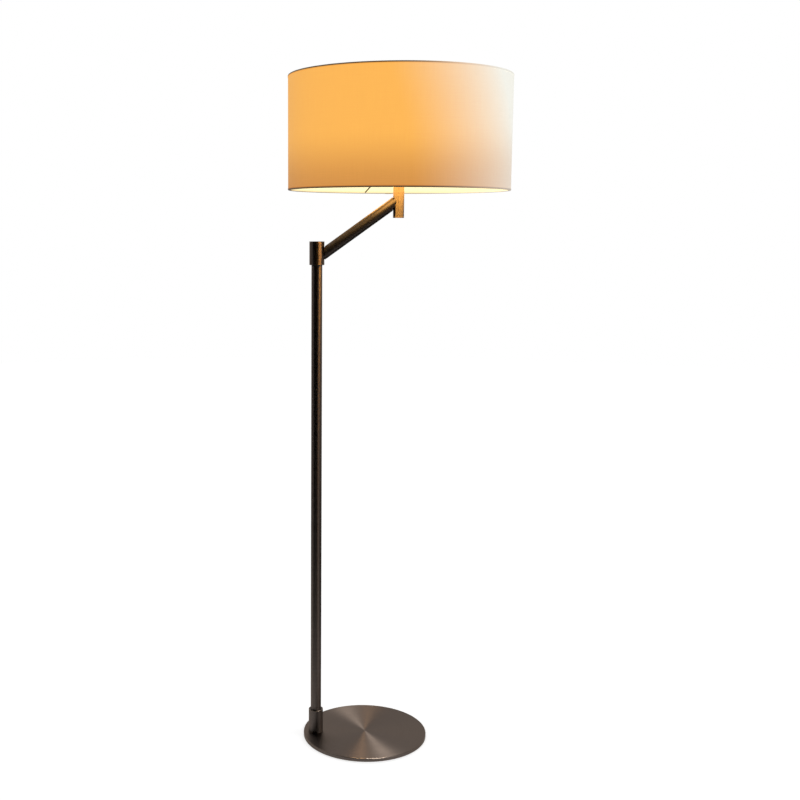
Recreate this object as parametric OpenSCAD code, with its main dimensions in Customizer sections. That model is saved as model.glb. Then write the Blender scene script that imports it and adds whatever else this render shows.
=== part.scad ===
// Bridge floor lamp: a round base with an offset pole, a knuckle that swivels on the pole,
// a slanted arm, an upright stem with a lamp holder and a recessed-carrier drum shade.
// Millimetres, +Z up. The origin is the centre of the base on the floor; the arm points to +X.

/* [Base] */
// Diameter of the base disc
base_d = 300; // [280:0.1:360]
// Thickness of the steel base disc
base_t = 8; // [7:0.1:12]
// Rounding of the disc's top edge
base_edge = 1.2; // [0.4:0.1:2.5]
// Thickness of the soft pad under the disc
pad_t = 1.5; // [1:0.1:3]
// How far the pad stays inside the disc's rim
pad_inset = 4; // [1:0.5:12]
// Diameter of the recess under the pole's foot
recess_d = 32; // [28:0.5:40]
// Depth of that recess and of the cable channel
recess_depth = 5; // [4.7:0.1:5.4]
// Width of the cable channel
channel_w = 7; // [6:0.1:9]
// Direction of the cable channel, seen from the pole
channel_turn = 150; // [120:1:180]
// Length of the grommet in the mouth of the channel
grommet_len = 9; // [6:0.5:14]
// Bore of the grommet
grommet_bore = 4; // [3:0.1:4.4]

/* [Pole] */
// Outer diameter of the pole, the arm and the stem
tube_d = 25.4; // [24:0.1:27]
// Wall of those tubes
tube_wall = 1.5; // [1:0.1:2]
// Length of the pole
pole_len = 1137.5; // [700:0.5:1400]
// Distance of the pole's axis from the rim of the base
pole_inset = 29.6; // [24:0.1:80]
// Length of the plug in the pole's foot
foot_plug_len = 22; // [18:0.5:40]
// Length of the plug in the pole's top
top_plug_len = 25; // [20:0.5:40]

/* [Collar] */
// Diameter of the collar at the pole's foot
collar_d = 34.9; // [33:0.1:40]
// Height of the collar
collar_len = 57; // [35:0.5:90]
// Rounding of the collar's top edge
collar_edge = 0.6; // [0.2:0.1:1]
// Diameter of the dark bush in the collar's mouth
bush_d = 29.4; // [28.6:0.1:31]
// Height of that bush
bush_h = 2.6; // [1.5:0.1:5]
// How far the bush lies below the collar's top face
bush_sink = 0.5; // [0.2:0.1:1.5]
// Diameter of the grub screw at the collar's back
grub_d = 5; // [4:0.1:6]
// Height of the grub screw above the base
grub_z = 14; // [8:0.5:24]
// How far the grub screw lies below the collar's surface
grub_sink = 0.6; // [0.3:0.1:1]

/* [Threaded tubes] */
// Outer diameter of the hollow threaded tubes
nipple_d = 10; // [9:0.1:11]
// Wire way through them
nipple_bore = 7; // [5:0.1:7.5]
// How far a threaded tube reaches into its plug
nipple_grip = 19; // [12:0.5:20]
// Nuts on the threaded tubes, across the flats
nut_af = 14; // [13:0.1:14.5]
// Thickness of those nuts
nut_t = 3; // [2.5:0.1:3]
// Diameter of the washer under the base
washer_d = 25; // [20:0.5:27]
// Thickness of that washer
washer_t = 1.5; // [1:0.1:1.5]

/* [Swivel] */
// Thickness of the dark ring between the pole and the hub
swivel_ring_t = 3.5; // [2:0.1:6]
// Distance of the stop pin from the pole's axis
stop_r = 8.1; // [8:0.1:8.4]
// Diameter of the stop pin
stop_pin_d = 3; // [2:0.1:3.2]
// Depth of the stop groove in the hub's floor
stop_groove_depth = 3; // [2:0.1:4]
// How far the arm turns to each side before the pin stops it
swivel_limit = 160; // [90:1:162]
// Spindle nut, across the flats
spindle_nut_af = 17; // [15:0.1:18]
// Thickness of the spindle nut
spindle_nut_t = 4; // [3:0.1:5]
// Free height of the dished spring washer
spring_h = 1.8; // [1.2:0.1:2.4]
// Sheet thickness of the spring washer
spring_t = 0.8; // [0.5:0.1:1]

/* [Hub] */
// Diameter of the hub
hub_d = 34.9; // [33.5:0.1:40]
// Height of the hub
hub_h = 53.8; // [50:0.1:70]
// Thickness of the hub's floor
hub_floor = 7; // [6.5:0.1:9]
// Diameter of the hollow in the hub
hub_hollow_d = 24; // [23:0.1:25]
// Thickness of the flush cap on the hub
hub_cap_t = 3; // [2:0.1:5]
// Width of the hub's rim round the cap
hub_rim = 2; // [1.5:0.1:2.6]

/* [Arm] */
// Horizontal distance from the pole's axis to the stem's axis
arm_reach = 187.3; // [150:0.1:260]
// Slope of the arm above the horizontal
arm_tilt = 35.8; // [30:0.1:40]
// Gap between the arm's upright end cuts and the rounds beside them
arm_end_gap = 1; // [0.4:0.1:2]
// How far the arm plugs reach into the arm
arm_plug_len = 24; // [21:0.5:40]

/* [Stem] */
// Length of the stem below the arm's axis
stem_below = 32.2; // [28:0.1:60]
// Length of the stem above the arm's axis
stem_above = 42.5; // [40:0.1:80]
// Thickness of the flat bottom cap of the stem
stem_cap_t = 2; // [1:0.1:4]
// Length of the cap's spigot
stem_spigot = 6; // [3:0.5:8]
// Length of the plug in the stem's top
stem_plug_len = 20; // [20:0.5:22]
// Diameter of the saddle washer inside the stem
saddle_d = 15; // [13:0.1:15.5]
// Distance from the stem's face to the saddle washer's flat side
saddle_reach = 8.5; // [8.3:0.1:9]

/* [Lamp holder] */
// Diameter of the holder's cap and shell
holder_d = 39; // [38.6:0.1:39.4]
// Wall of the holder's cap and shell
holder_wall = 1.8; // [1.4:0.1:2]
// Height of the holder's cap
holder_cap_h = 22; // [18:0.5:24]
// Rounding of the cap's bottom edge
holder_cap_round = 6; // [2:0.5:7]
// Height from the cap's rim to the shell's flange
flange_up = 31.5; // [28:0.5:36]
// Diameter of the flange that carries the shade
flange_d = 46; // [44:0.5:48]
// Thickness of the flange
flange_t = 2.5; // [1.5:0.1:4]
// Height of the threaded skirt above the flange
skirt_h = 22; // [16:0.5:26]
// Radius of the insulating block's well for the screw shell
well_r = 13.9; // [13.7:0.1:14.1]
// Thickness of the brass screw shell
screw_shell_t = 0.5; // [0.3:0.1:0.6]
// Height of the brass screw shell
screw_shell_h = 24; // [18:0.5:26]
// Height of the switch shaft above the cap's rim
switch_up = 7; // [6:0.5:10]
// Diameter of the switch shaft
switch_shaft_d = 4; // [3:0.1:5]
// Diameter of the turn knob
knob_d = 13; // [10:0.1:15]
// Length of the turn knob
knob_len = 20; // [14:0.5:26]
// Gap between the knob and the shell
knob_gap = 1.2; // [0.6:0.1:3]
// Number of grip grooves on the knob
knob_grooves = 14; // [8:1:18]
// Outer diameter of the ring that clamps the shade
clamp_d = 49; // [48:0.1:50]
// Height of the clamp ring
clamp_h = 7; // [5:0.1:10]

/* [Lamp] */
// Greatest diameter of the glass
bulb_d = 60; // [55:0.5:65]
// Length of the lamp from its contact to its crown
bulb_len = 110; // [105:0.5:120]
// Diameter of the lamp's screw base
bulb_base_d = 25.8; // [25.4:0.1:26]
// Length of the lamp's screw base
bulb_base_len = 26; // [24:0.5:28]
// Thickness of the glass
glass_t = 0.8; // [0.6:0.1:1.2]
// Radius of the filament's arc
filament_r = 10; // [6:0.5:12]

/* [Shade] */
// Outer diameter of the drum shade
shade_d = 508; // [300:1:600]
// Height of the drum shade
shade_h = 254; // [200:1:400]
// Depth of the shade's carrier ring above the bottom edge
carrier_depth = 69.2; // [40:0.1:90]
// Thickness of the outer fabric
fabric_t = 0.6; // [0.4:0.1:1.2]
// Thickness of the inner liner
liner_t = 0.5; // [0.3:0.1:1]
// Thickness of the folded hem
hem_t = 0.4; // [0.3:0.1:0.8]
// Height of the hem
hem_h = 4.6; // [4:0.1:8]
// Diameter of the wire of the shade's rings
wire_d = 4; // [3:0.1:5]
// Diameter of the carrier's spokes
spoke_d = 3.5; // [2.5:0.1:3.9]
// Number of spokes
spoke_count = 3; // [3:1:4]
// Direction of the first spoke, turned from +X
spoke_turn = 106; // [0:1:119]
// Outer diameter of the carrier's centre ring
carrier_d = 57; // [56:0.5:64]
// Thickness of the carrier's centre ring
carrier_t = 2.5; // [1.5:0.1:4]

/* [Clearances] */
// Radial clearance of a plug, nipple or bush in its seat
seat_gap = 0.05; // [0.02:0.01:0.1]
// Radial clearance of a turning shaft in its bore
running_gap = 0.06; // [0.03:0.01:0.09]
// Height left between faces that slide on each other
sliding_gap = 0.05; // [0.02:0.01:0.1]
// Radial clearance of a bolt hole
hole_gap = 0.3; // [0.1:0.05:0.5]
// Gap between the layers of the shade
layer_gap = 0.05; // [0.02:0.01:0.1]

/* [Hidden] */

$fn = 96;
eps = 0.01;

// Tubes
tube_r = tube_d / 2;
tube_ir = tube_r - tube_wall;
plug_r = tube_ir - seat_gap;
nipple_r = nipple_d / 2;
nipple_seat_r = nipple_r + seat_gap;
nut_corner_d = nut_af / cos(30);

// Axes of the two uprights
pole_offset = base_d / 2 - pole_inset;
pole_x = -pole_offset;
stem_x = pole_x + arm_reach;

// Heights from the floor to the hub
plate_z = pad_t;
plate_top = plate_z + base_t;
recess_top = plate_z + recess_depth;
pole_z = plate_top;
pole_top = pole_z + pole_len;
collar_top = pole_z + collar_len;
collar_r = collar_d / 2;
grub_hole_r = grub_d / 2 + seat_gap;
hub_z = pole_top + swivel_ring_t;
hub_top = hub_z + hub_h;
hub_mid = hub_z + hub_h / 2;
hub_r = hub_d / 2;
hub_hollow_r = hub_hollow_d / 2;
hub_hollow_z = hub_z + hub_floor;
hub_cap_z = hub_top - hub_cap_t;
hub_cap_spigot = 4;
spindle_nut_z = hub_hollow_z + spring_h + 2 * sliding_gap;
spindle_top = spindle_nut_z + spindle_nut_t + 1;

// The stop pin stands opposite the arm, and the groove ends a little past the limit
stop_pin_half_angle = asin(stop_pin_d / 2 / stop_r);
stop_spare_angle = 1.5;
stop_half_span = swivel_limit + stop_pin_half_angle + stop_spare_angle;
stop_pin_sink = 8;
stop_groove_side_gap = 0.3;

// The arm's axis starts on the hub's surface at mid height and ends on the stem's surface
arm_x0 = pole_x + hub_r;
arm_x1 = stem_x - tube_r;
arm_len = (arm_x1 - arm_x0) / cos(arm_tilt);
arm_rise = (arm_x1 - arm_x0) * tan(arm_tilt);
arm_stem_z = hub_mid + arm_rise;

// Stem
stem_z = arm_stem_z - stem_below;
stem_tube_z = stem_z + stem_cap_t;
stem_top = arm_stem_z + stem_above;
saddle_nut_end = saddle_reach + nut_t;
saddle_nipple_end = saddle_nut_end + 1;

// Lamp holder
holder_r = holder_d / 2;
holder_ir = holder_r - holder_wall;
holder_floor = 2.5;
holder_cap_top = stem_top + holder_cap_h;
flange_z = holder_cap_top + flange_up;
carrier_z = flange_z + flange_t;
clamp_z = carrier_z + carrier_t;
skirt_top = flange_z + flange_t + skirt_h;
block_r = holder_ir - seat_gap;
block_z = stem_top + holder_floor + nut_t + 4;
well_z = holder_cap_top + flange_up - 10;
screw_shell_z = well_z + 2;
block_top = screw_shell_z + screw_shell_h + 1;
contact_h = 3;
bulb_z = well_z + contact_h;
bulb_base_top = bulb_z + bulb_base_len;
switch_z = holder_cap_top + switch_up;
switch_window_r = switch_shaft_d / 2 + 2;
switch_shaft_start = 6;
knob_start = holder_r + knob_gap;
knob_bore_depth = 9;

// Lamp: a ball of glass with a cone that runs tangent from the neck to the ball
bulb_r = bulb_d / 2;
bulb_top = bulb_z + bulb_len;
bulb_ball_z = bulb_top - bulb_r;
bulb_neck_r = bulb_base_d / 2 + 0.5;
filament_z = bulb_ball_z - 8;

// Shade, from the outside in
shade_z = carrier_z - carrier_depth;
shade_top = shade_z + shade_h;
fabric_r = shade_d / 2 - hem_t - layer_gap;
liner_r = fabric_r - fabric_t - layer_gap;
wire_r = wire_d / 2;
wire_ring_r = liner_r - liner_t - layer_gap - wire_r;
hem_inner_r = wire_ring_r - wire_r - layer_gap - hem_t;
cloth_z = shade_z + hem_t + layer_gap;
cloth_h = shade_h - 2 * (hem_t + layer_gap);
bottom_wire_z = cloth_z + wire_r;
top_wire_z = cloth_z + cloth_h - wire_r;
carrier_hole_r = holder_r + hole_gap;
spoke_end_r = carrier_d / 2 - 2;
spoke_rise = carrier_z + carrier_t / 2 - bottom_wire_z;
spoke_run = wire_ring_r - spoke_end_r;
spoke_len = sqrt(spoke_run * spoke_run + spoke_rise * spoke_rise);
spoke_tilt = atan(spoke_rise / spoke_run);

// Colours
steel = [0.36, 0.32, 0.29];
zinc = [0.70, 0.70, 0.68];
brass = [0.80, 0.65, 0.30];
black = [0.08, 0.08, 0.08];
linen = [0.95, 0.80, 0.55];
cream = [1.00, 0.95, 0.80];
hem_brown = [0.45, 0.36, 0.24];
white = [0.93, 0.93, 0.90];
glass = [1.00, 0.97, 0.88];

// ---- Shared shapes ----

// A round ring that stands on z = 0
module ring(outer_r, inner_r, h) {
    difference() {
        cylinder(r = outer_r, h = h);
        translate([0, 0, -1]) cylinder(r = inner_r, h = h + 2);
    }
}

// Lays what stands on +Z along the arm's axis, s millimetres from the hub's surface
module along_arm(s) {
    translate([arm_x0, 0, hub_mid]) rotate([0, 90 - arm_tilt, 0]) translate([0, 0, s]) children();
}

// The upright slab of space between two values of x, tall and deep enough for the arm
module slab(x_low, x_high) {
    depth = 2 * tube_d;
    height = arm_rise + 8 * tube_d;
    translate([x_low, -depth / 2, hub_mid - 4 * tube_d]) cube([x_high - x_low, depth, height]);
}

// A profile with its outer top corner rounded, from the axis out to r
module rounded_disc_profile(r, h, edge) {
    square([r - edge, h]);
    square([r, h - edge]);
    translate([r - edge, h - edge]) circle(r = edge);
}

// A hexagon nut that stands on z = 0
module hex_nut(af, h, hole_r) {
    difference() {
        cylinder(d = af / cos(30), h = h, $fn = 6);
        translate([0, 0, -1]) cylinder(r = hole_r, h = h + 2);
    }
}

// ---- Base ----

module base_pad() {
    color(black) cylinder(r = base_d / 2 - pad_inset, h = pad_t);
}

// The cable channel from the pole's axis to beyond the rim, grown by a gap on each side
module channel(h, gap) {
    w = channel_w + 2 * gap;
    translate([pole_x, 0, plate_z - eps]) rotate([0, 0, channel_turn])
        translate([0, -w / 2, 0]) cube([base_d, w, h + gap]);
}

module base_plate() {
    color(steel) difference() {
        translate([0, 0, plate_z]) rotate_extrude() intersection() {
            rounded_disc_profile(base_d / 2, base_t, base_edge);
            square([base_d, base_t]);
        }
        translate([pole_x, 0, 0]) cylinder(r = nipple_r + hole_gap, h = plate_top + 1);
        translate([pole_x, 0, plate_z - 1]) cylinder(d = recess_d, h = recess_depth + 1);
        channel(recess_depth, 0);
    }
}

// The grommet fills the end of the channel and follows the rim's curve
module cable_grommet() {
    mouth_x = base_d / 2;
    chord = sqrt(mouth_x * mouth_x - pow(pole_offset * sin(channel_turn), 2));
    reach = chord + pole_offset * cos(channel_turn);
    color(black) difference() {
        intersection() {
            channel(recess_depth, -seat_gap);
            translate([0, 0, plate_z]) cylinder(r = base_d / 2, h = base_t);
            translate([pole_x, 0, plate_z]) rotate([0, 0, channel_turn])
                translate([reach - grommet_len, -channel_w, 0])
                    cube([2 * grommet_len, 2 * channel_w, base_t]);
        }
        translate([pole_x, 0, plate_z + recess_depth / 2]) rotate([0, 0, channel_turn])
            rotate([0, 90, 0]) cylinder(d = grommet_bore, h = base_d);
    }
}

module base_washer() {
    color(zinc) translate([pole_x, 0, recess_top - washer_t])
        ring(washer_d / 2, nipple_r + hole_gap, washer_t);
}

module base_nut() {
    color(zinc) translate([pole_x, 0, recess_top - washer_t - nut_t])
        hex_nut(nut_af, nut_t, nipple_seat_r);
}

module base_nipple() {
    start = recess_top - washer_t - nut_t;
    color(zinc) translate([pole_x, 0, start])
        ring(nipple_r, nipple_bore / 2, pole_z + nipple_grip - start);
}

// ---- Pole and collar ----

module pole_foot_plug() {
    color(zinc) translate([pole_x, 0, pole_z]) ring(plug_r, nipple_seat_r, foot_plug_len);
}

module pole_tube() {
    color(steel) translate([pole_x, 0, pole_z]) ring(tube_r, tube_ir, pole_len);
}

// The screw's axis, from the pole's surface out of the collar's back
module grub_axis() {
    translate([pole_x, tube_r + seat_gap, pole_z + grub_z]) rotate([-90, 0, 0]) children();
}

module foot_collar() {
    color(steel) difference() {
        translate([pole_x, 0, pole_z]) rotate_extrude() difference() {
            intersection() {
                rounded_disc_profile(collar_r, collar_len, collar_edge);
                square([collar_r, collar_len]);
            }
            translate([-1, -1]) square([tube_r + seat_gap + 1, collar_len + 2]);
            translate([0, collar_len - bush_h - bush_sink]) square([bush_d / 2, collar_len]);
        }
        grub_axis() translate([0, 0, -1]) cylinder(r = grub_hole_r, h = collar_r);
    }
}

module collar_bush() {
    color(black) translate([pole_x, 0, collar_top - bush_h - bush_sink])
        ring(bush_d / 2 - seat_gap, tube_r + seat_gap, bush_h);
}

module collar_grub_screw() {
    len = collar_r - tube_r - seat_gap - grub_sink;
    socket_depth = len * 0.6;
    color(zinc) grub_axis() difference() {
        cylinder(d = grub_d, h = len);
        translate([0, 0, len - socket_depth]) cylinder(d = grub_d / 2, h = len, $fn = 6);
    }
}

// ---- Swivel ----

module pole_top_plug() {
    color(zinc) difference() {
        translate([pole_x, 0, pole_top - top_plug_len]) ring(plug_r, nipple_seat_r, top_plug_len);
        translate([pole_x - stop_r, 0, pole_top - stop_pin_sink])
            cylinder(d = stop_pin_d + 2 * seat_gap, h = stop_pin_sink + 1);
    }
}

module swivel_spindle() {
    start = pole_top - nipple_grip;
    color(zinc) translate([pole_x, 0, start])
        ring(nipple_r, nipple_bore / 2, spindle_top - start);
}

module stop_pin() {
    reach = swivel_ring_t + stop_groove_depth - 0.5;
    color(zinc) translate([pole_x - stop_r, 0, pole_top - stop_pin_sink])
        cylinder(d = stop_pin_d, h = stop_pin_sink + reach);
}

module swivel_ring() {
    color(black) difference() {
        translate([pole_x, 0, pole_top])
            ring(tube_r, nipple_r + running_gap, swivel_ring_t - sliding_gap);
        translate([pole_x - stop_r, 0, pole_top - 1])
            cylinder(d = stop_pin_d + 2 * seat_gap, h = swivel_ring_t + 2);
    }
}

module spring_washer() {
    inner = nipple_r + running_gap;
    outer = hub_hollow_r - 2;
    dish = spring_h - spring_t;
    color(zinc) translate([pole_x, 0, hub_hollow_z + sliding_gap]) rotate_extrude()
        polygon([[inner, dish], [outer, 0], [outer, spring_t], [inner, spring_h]]);
}

module spindle_nut() {
    color(zinc) translate([pole_x, 0, spindle_nut_z])
        hex_nut(spindle_nut_af, spindle_nut_t, nipple_seat_r);
}

// ---- Hub ----

module hub_body() {
    groove_w = stop_pin_d + 2 * stop_groove_side_gap;
    color(steel) difference() {
        translate([pole_x, 0, hub_z]) cylinder(r = hub_r, h = hub_h);
        translate([pole_x, 0, hub_z - 1]) cylinder(r = nipple_r + running_gap, h = hub_h);
        translate([pole_x, 0, hub_hollow_z]) cylinder(r = hub_hollow_r, h = hub_h);
        translate([pole_x, 0, hub_cap_z]) cylinder(r = hub_r - hub_rim, h = hub_cap_t + 1);
        translate([pole_x, 0, hub_z - 1])
            rotate_extrude(angle = 2 * stop_half_span, start = 180 - stop_half_span)
                translate([stop_r - groove_w / 2, 0]) square([groove_w, stop_groove_depth + 1]);
        along_arm(-(hub_r - hub_hollow_r) - 4) cylinder(r = nipple_seat_r, h = hub_r);
    }
}

module hub_cap() {
    color(steel) translate([pole_x, 0, 0]) {
        translate([0, 0, hub_cap_z]) cylinder(r = hub_r - hub_rim - seat_gap, h = hub_cap_t);
        translate([0, 0, hub_cap_z - hub_cap_spigot])
            cylinder(r = hub_hollow_r - seat_gap, h = hub_cap_spigot + eps);
    }
}

// ---- Arm: a tube with upright ends, on plugs coped to the rounds that they seat on ----

module arm_hub_nipple() {
    start = -(hub_r - hub_hollow_r) / cos(arm_tilt) + 0.7;
    color(zinc) along_arm(start) ring(nipple_r, nipple_bore / 2, nipple_grip - start);
}

module arm_hub_plug() {
    color(steel) difference() {
        intersection() {
            along_arm(-hub_r) ring(plug_r, nipple_seat_r, hub_r + arm_plug_len);
            slab(pole_x, stem_x);
        }
        translate([pole_x, 0, hub_z - hub_h]) cylinder(r = hub_r + seat_gap, h = 3 * hub_h);
    }
}

module arm_tube() {
    spare = tube_d;
    color(steel) intersection() {
        along_arm(-spare) ring(tube_r, tube_ir, arm_len + 2 * spare);
        slab(arm_x0 + arm_end_gap, arm_x1 - arm_end_gap);
    }
}

module arm_stem_plug() {
    color(steel) difference() {
        intersection() {
            along_arm(arm_len - arm_plug_len)
                ring(plug_r, nipple_seat_r, arm_plug_len + tube_d);
            slab(pole_x, stem_x);
        }
        translate([stem_x, 0, stem_z - tube_d])
            cylinder(r = tube_r + seat_gap, h = stem_top - stem_z + 2 * tube_d);
    }
}

module arm_stem_nipple() {
    color(zinc) along_arm(arm_len - nipple_grip)
        ring(nipple_r, nipple_bore / 2, nipple_grip + saddle_nipple_end);
}

// The wedge washer fits the stem's inner wall on one side and the nut's flat on the other
module saddle_washer() {
    color(zinc) intersection() {
        along_arm(arm_len - tube_d) ring(saddle_d / 2, nipple_seat_r, tube_d + saddle_reach);
        translate([stem_x, 0, stem_z]) cylinder(r = tube_ir - seat_gap, h = stem_top - stem_z);
    }
}

module saddle_nut() {
    color(zinc) along_arm(arm_len + saddle_reach) hex_nut(nut_af, nut_t, nipple_seat_r);
}

// ---- Stem ----

module stem_tube() {
    color(steel) difference() {
        translate([stem_x, 0, stem_tube_z]) ring(tube_r, tube_ir, stem_top - stem_tube_z);
        along_arm(arm_len - nipple_d) cylinder(r = nipple_r + hole_gap, h = 2 * nipple_d);
    }
}

module stem_end_cap() {
    color(steel) translate([stem_x, 0, stem_z]) {
        cylinder(r = tube_r, h = stem_cap_t);
        cylinder(r = plug_r, h = stem_cap_t + stem_spigot);
    }
}

module stem_top_plug() {
    color(zinc) translate([stem_x, 0, stem_top - stem_plug_len])
        ring(plug_r, nipple_seat_r, stem_plug_len);
}

// ---- Lamp holder ----

module holder_nipple() {
    color(zinc) translate([stem_x, 0, stem_top - nipple_grip])
        ring(nipple_r, nipple_bore / 2, nipple_grip + holder_floor + nut_t + 1);
}

module holder_nut() {
    color(zinc) translate([stem_x, 0, stem_top + holder_floor])
        hex_nut(nut_af, nut_t, nipple_seat_r);
}

// The outline of a cup from the axis out to r, with its bottom corner rounded
module cup_outline(r, h, edge) {
    translate([0, edge]) square([r, h - edge]);
    square([r - edge, h]);
    intersection() {
        translate([r - edge, edge]) circle(r = edge);
        square([r, h]);
    }
}

module holder_cap() {
    inner_round = holder_cap_round - holder_wall / 2;
    color(black) translate([stem_x, 0, stem_top]) rotate_extrude() difference() {
        cup_outline(holder_r, holder_cap_h, holder_cap_round);
        translate([0, holder_floor]) cup_outline(holder_ir, holder_cap_h, inner_round);
        translate([0, -1]) square([nipple_seat_r, holder_cap_h]);
    }
}

module holder_shell() {
    color(black) difference() {
        translate([stem_x, 0, 0]) {
            translate([0, 0, holder_cap_top])
                ring(holder_r, holder_ir, skirt_top - holder_cap_top);
            translate([0, 0, flange_z]) ring(flange_d / 2, holder_ir, flange_t);
        }
        translate([stem_x, 0, switch_z]) rotate([-90, 0, 0])
            cylinder(r = switch_window_r, h = holder_d);
    }
}

// The insulating block holds the switch below and the screw shell in its well above
module switch_block() {
    color(white) difference() {
        translate([stem_x, 0, block_z]) cylinder(r = block_r, h = block_top - block_z);
        translate([stem_x, 0, well_z]) cylinder(r = well_r, h = block_top);
        translate([stem_x, switch_shaft_start - sliding_gap, switch_z]) rotate([-90, 0, 0])
            cylinder(r = switch_shaft_d / 2 + running_gap, h = holder_d);
        translate([stem_x, 0, block_z - 1])
            cylinder(d = nut_corner_d + 2, h = 3);
    }
}

module screw_shell() {
    color(brass) translate([stem_x, 0, screw_shell_z])
        ring(well_r - seat_gap, well_r - seat_gap - screw_shell_t, screw_shell_h);
}

// A sprung brass tongue that the lamp's tip rests on
module centre_contact() {
    foot_r = 6;
    tip_r = 2.5;
    sheet = 0.8;
    color(brass) translate([stem_x, 0, well_z]) rotate_extrude()
        polygon([[0, contact_h - sheet], [tip_r, contact_h - sheet], [foot_r - 1, 0],
                 [foot_r, 0], [foot_r, sheet], [tip_r + 1, contact_h], [0, contact_h]]);
}

module switch_shaft() {
    color(brass) translate([stem_x, switch_shaft_start, switch_z]) rotate([-90, 0, 0])
        cylinder(d = switch_shaft_d, h = knob_start + knob_bore_depth - switch_shaft_start);
}

module switch_knob() {
    groove_d = 1.4;
    color(black) translate([stem_x, knob_start, switch_z]) rotate([-90, 0, 0]) difference() {
        rotate_extrude() intersection() {
            rounded_disc_profile(knob_d / 2, knob_len, 1.5);
            square([knob_d, knob_len]);
        }
        translate([0, 0, -1])
            cylinder(r = switch_shaft_d / 2 + seat_gap, h = knob_bore_depth + 1);
        for (i = [0 : knob_grooves - 1]) rotate([0, 0, i * 360 / knob_grooves])
            translate([knob_d / 2 + groove_d / 4, 0, 3]) cylinder(d = groove_d, h = knob_len);
    }
}

// ---- Lamp ----

module bulb_base() {
    tip_r = 3;
    taper_h = 6;
    color(brass) translate([stem_x, 0, bulb_z]) rotate_extrude()
        polygon([[0, 0], [tip_r, 0], [bulb_base_d / 2, taper_h], [bulb_base_d / 2, bulb_base_len],
                 [0, bulb_base_len]]);
}

// The glass outline from the axis: a ball with a tangent cone down to the neck, grown by g
module bulb_outline(g) {
    ball = bulb_r + g;
    neck = bulb_neck_r + g;
    drop = bulb_ball_z - bulb_base_top;
    lean = asin(ball / sqrt(drop * drop + neck * neck)) - atan(neck / drop);
    intersection() {
        translate([0, drop]) circle(r = ball);
        square([ball + 1, drop + ball + 1]);
    }
    polygon([[0, 0], [neck, 0], [ball * cos(lean), drop - ball * sin(lean)], [0, drop]]);
}

module bulb_glass() {
    color(glass) translate([stem_x, 0, bulb_base_top]) rotate_extrude() difference() {
        bulb_outline(0);
        difference() {
            bulb_outline(-glass_t);
            translate([-1, -1]) square([bulb_d, 1 + glass_t]);
        }
    }
}

// The inner mount: a glass foot, two lead wires and the filament's arc
module bulb_filament() {
    foot_r = 6;
    foot_h = 22;
    lead_r = 0.6;
    foot_z = bulb_base_top + glass_t;
    lead_z = foot_z + foot_h - 1;
    lead_rise = filament_z - lead_z;
    color(glass) translate([stem_x, 0, 0]) {
        translate([0, 0, foot_z]) cylinder(r1 = foot_r, r2 = foot_r / 2, h = foot_h);
        translate([0, 0, filament_z])
            rotate_extrude(angle = 300, start = 30) translate([filament_r, 0]) circle(r = 1);
        for (side = [30, 330]) rotate([0, 0, side]) translate([0, 0, lead_z])
            rotate([0, atan(filament_r / lead_rise), 0])
                cylinder(r = lead_r, h = norm([filament_r, lead_rise]));
    }
}

// ---- Shade ----

// One spoke, from the bottom wire up to the centre ring, thickened by g
module spoke(i, g) {
    rotate([0, 0, spoke_turn + i * 360 / spoke_count])
        translate([wire_ring_r, 0, bottom_wire_z]) rotate([0, spoke_tilt - 90, 0])
            cylinder(d = spoke_d + 2 * g, h = spoke_len);
}

module wire_ring(z) {
    translate([stem_x, 0, z]) rotate_extrude() translate([wire_ring_r, 0]) circle(r = wire_r);
}

// The welded carrier: bottom wire, spokes and centre ring are one piece
module shade_carrier() {
    color(zinc) {
        wire_ring(bottom_wire_z);
        translate([stem_x, 0, 0]) {
            for (i = [0 : spoke_count - 1]) spoke(i, 0);
            translate([0, 0, carrier_z]) ring(carrier_d / 2, carrier_hole_r, carrier_t);
        }
    }
}

module shade_clamp_ring() {
    scallops = 12;
    scallop_d = 5;
    color(black) translate([stem_x, 0, clamp_z]) difference() {
        ring(clamp_d / 2, holder_r + seat_gap, clamp_h);
        for (i = [0 : scallops - 1]) rotate([0, 0, i * 360 / scallops])
            translate([clamp_d / 2 + scallop_d / 3, 0, -1]) cylinder(d = scallop_d, h = clamp_h + 2);
    }
}

module shade_top_wire() {
    color(zinc) wire_ring(top_wire_z);
}

module shade_liner() {
    color(cream) translate([stem_x, 0, cloth_z]) ring(liner_r, liner_r - liner_t, cloth_h);
}

module shade_fabric() {
    color(linen) translate([stem_x, 0, cloth_z]) ring(fabric_r, fabric_r - fabric_t, cloth_h);
}

// The hem folds round the cloth's edge and the wire, and its fold lies on z = 0
module hem() {
    rotate_extrude() difference() {
        translate([hem_inner_r, 0]) square([shade_d / 2 - hem_inner_r, hem_h]);
        translate([hem_inner_r + hem_t, hem_t])
            square([shade_d / 2 - hem_inner_r - 2 * hem_t, hem_h]);
    }
}

module shade_bottom_hem() {
    color(hem_brown) difference() {
        translate([stem_x, 0, shade_z]) hem();
        translate([stem_x, 0, 0]) for (i = [0 : spoke_count - 1]) intersection() {
            spoke(i, hole_gap);
            cylinder(r = wire_ring_r - wire_r, h = shade_top);
        }
    }
}

module shade_top_hem() {
    color(hem_brown) translate([stem_x, 0, shade_top]) mirror([0, 0, 1]) hem();
}

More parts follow.
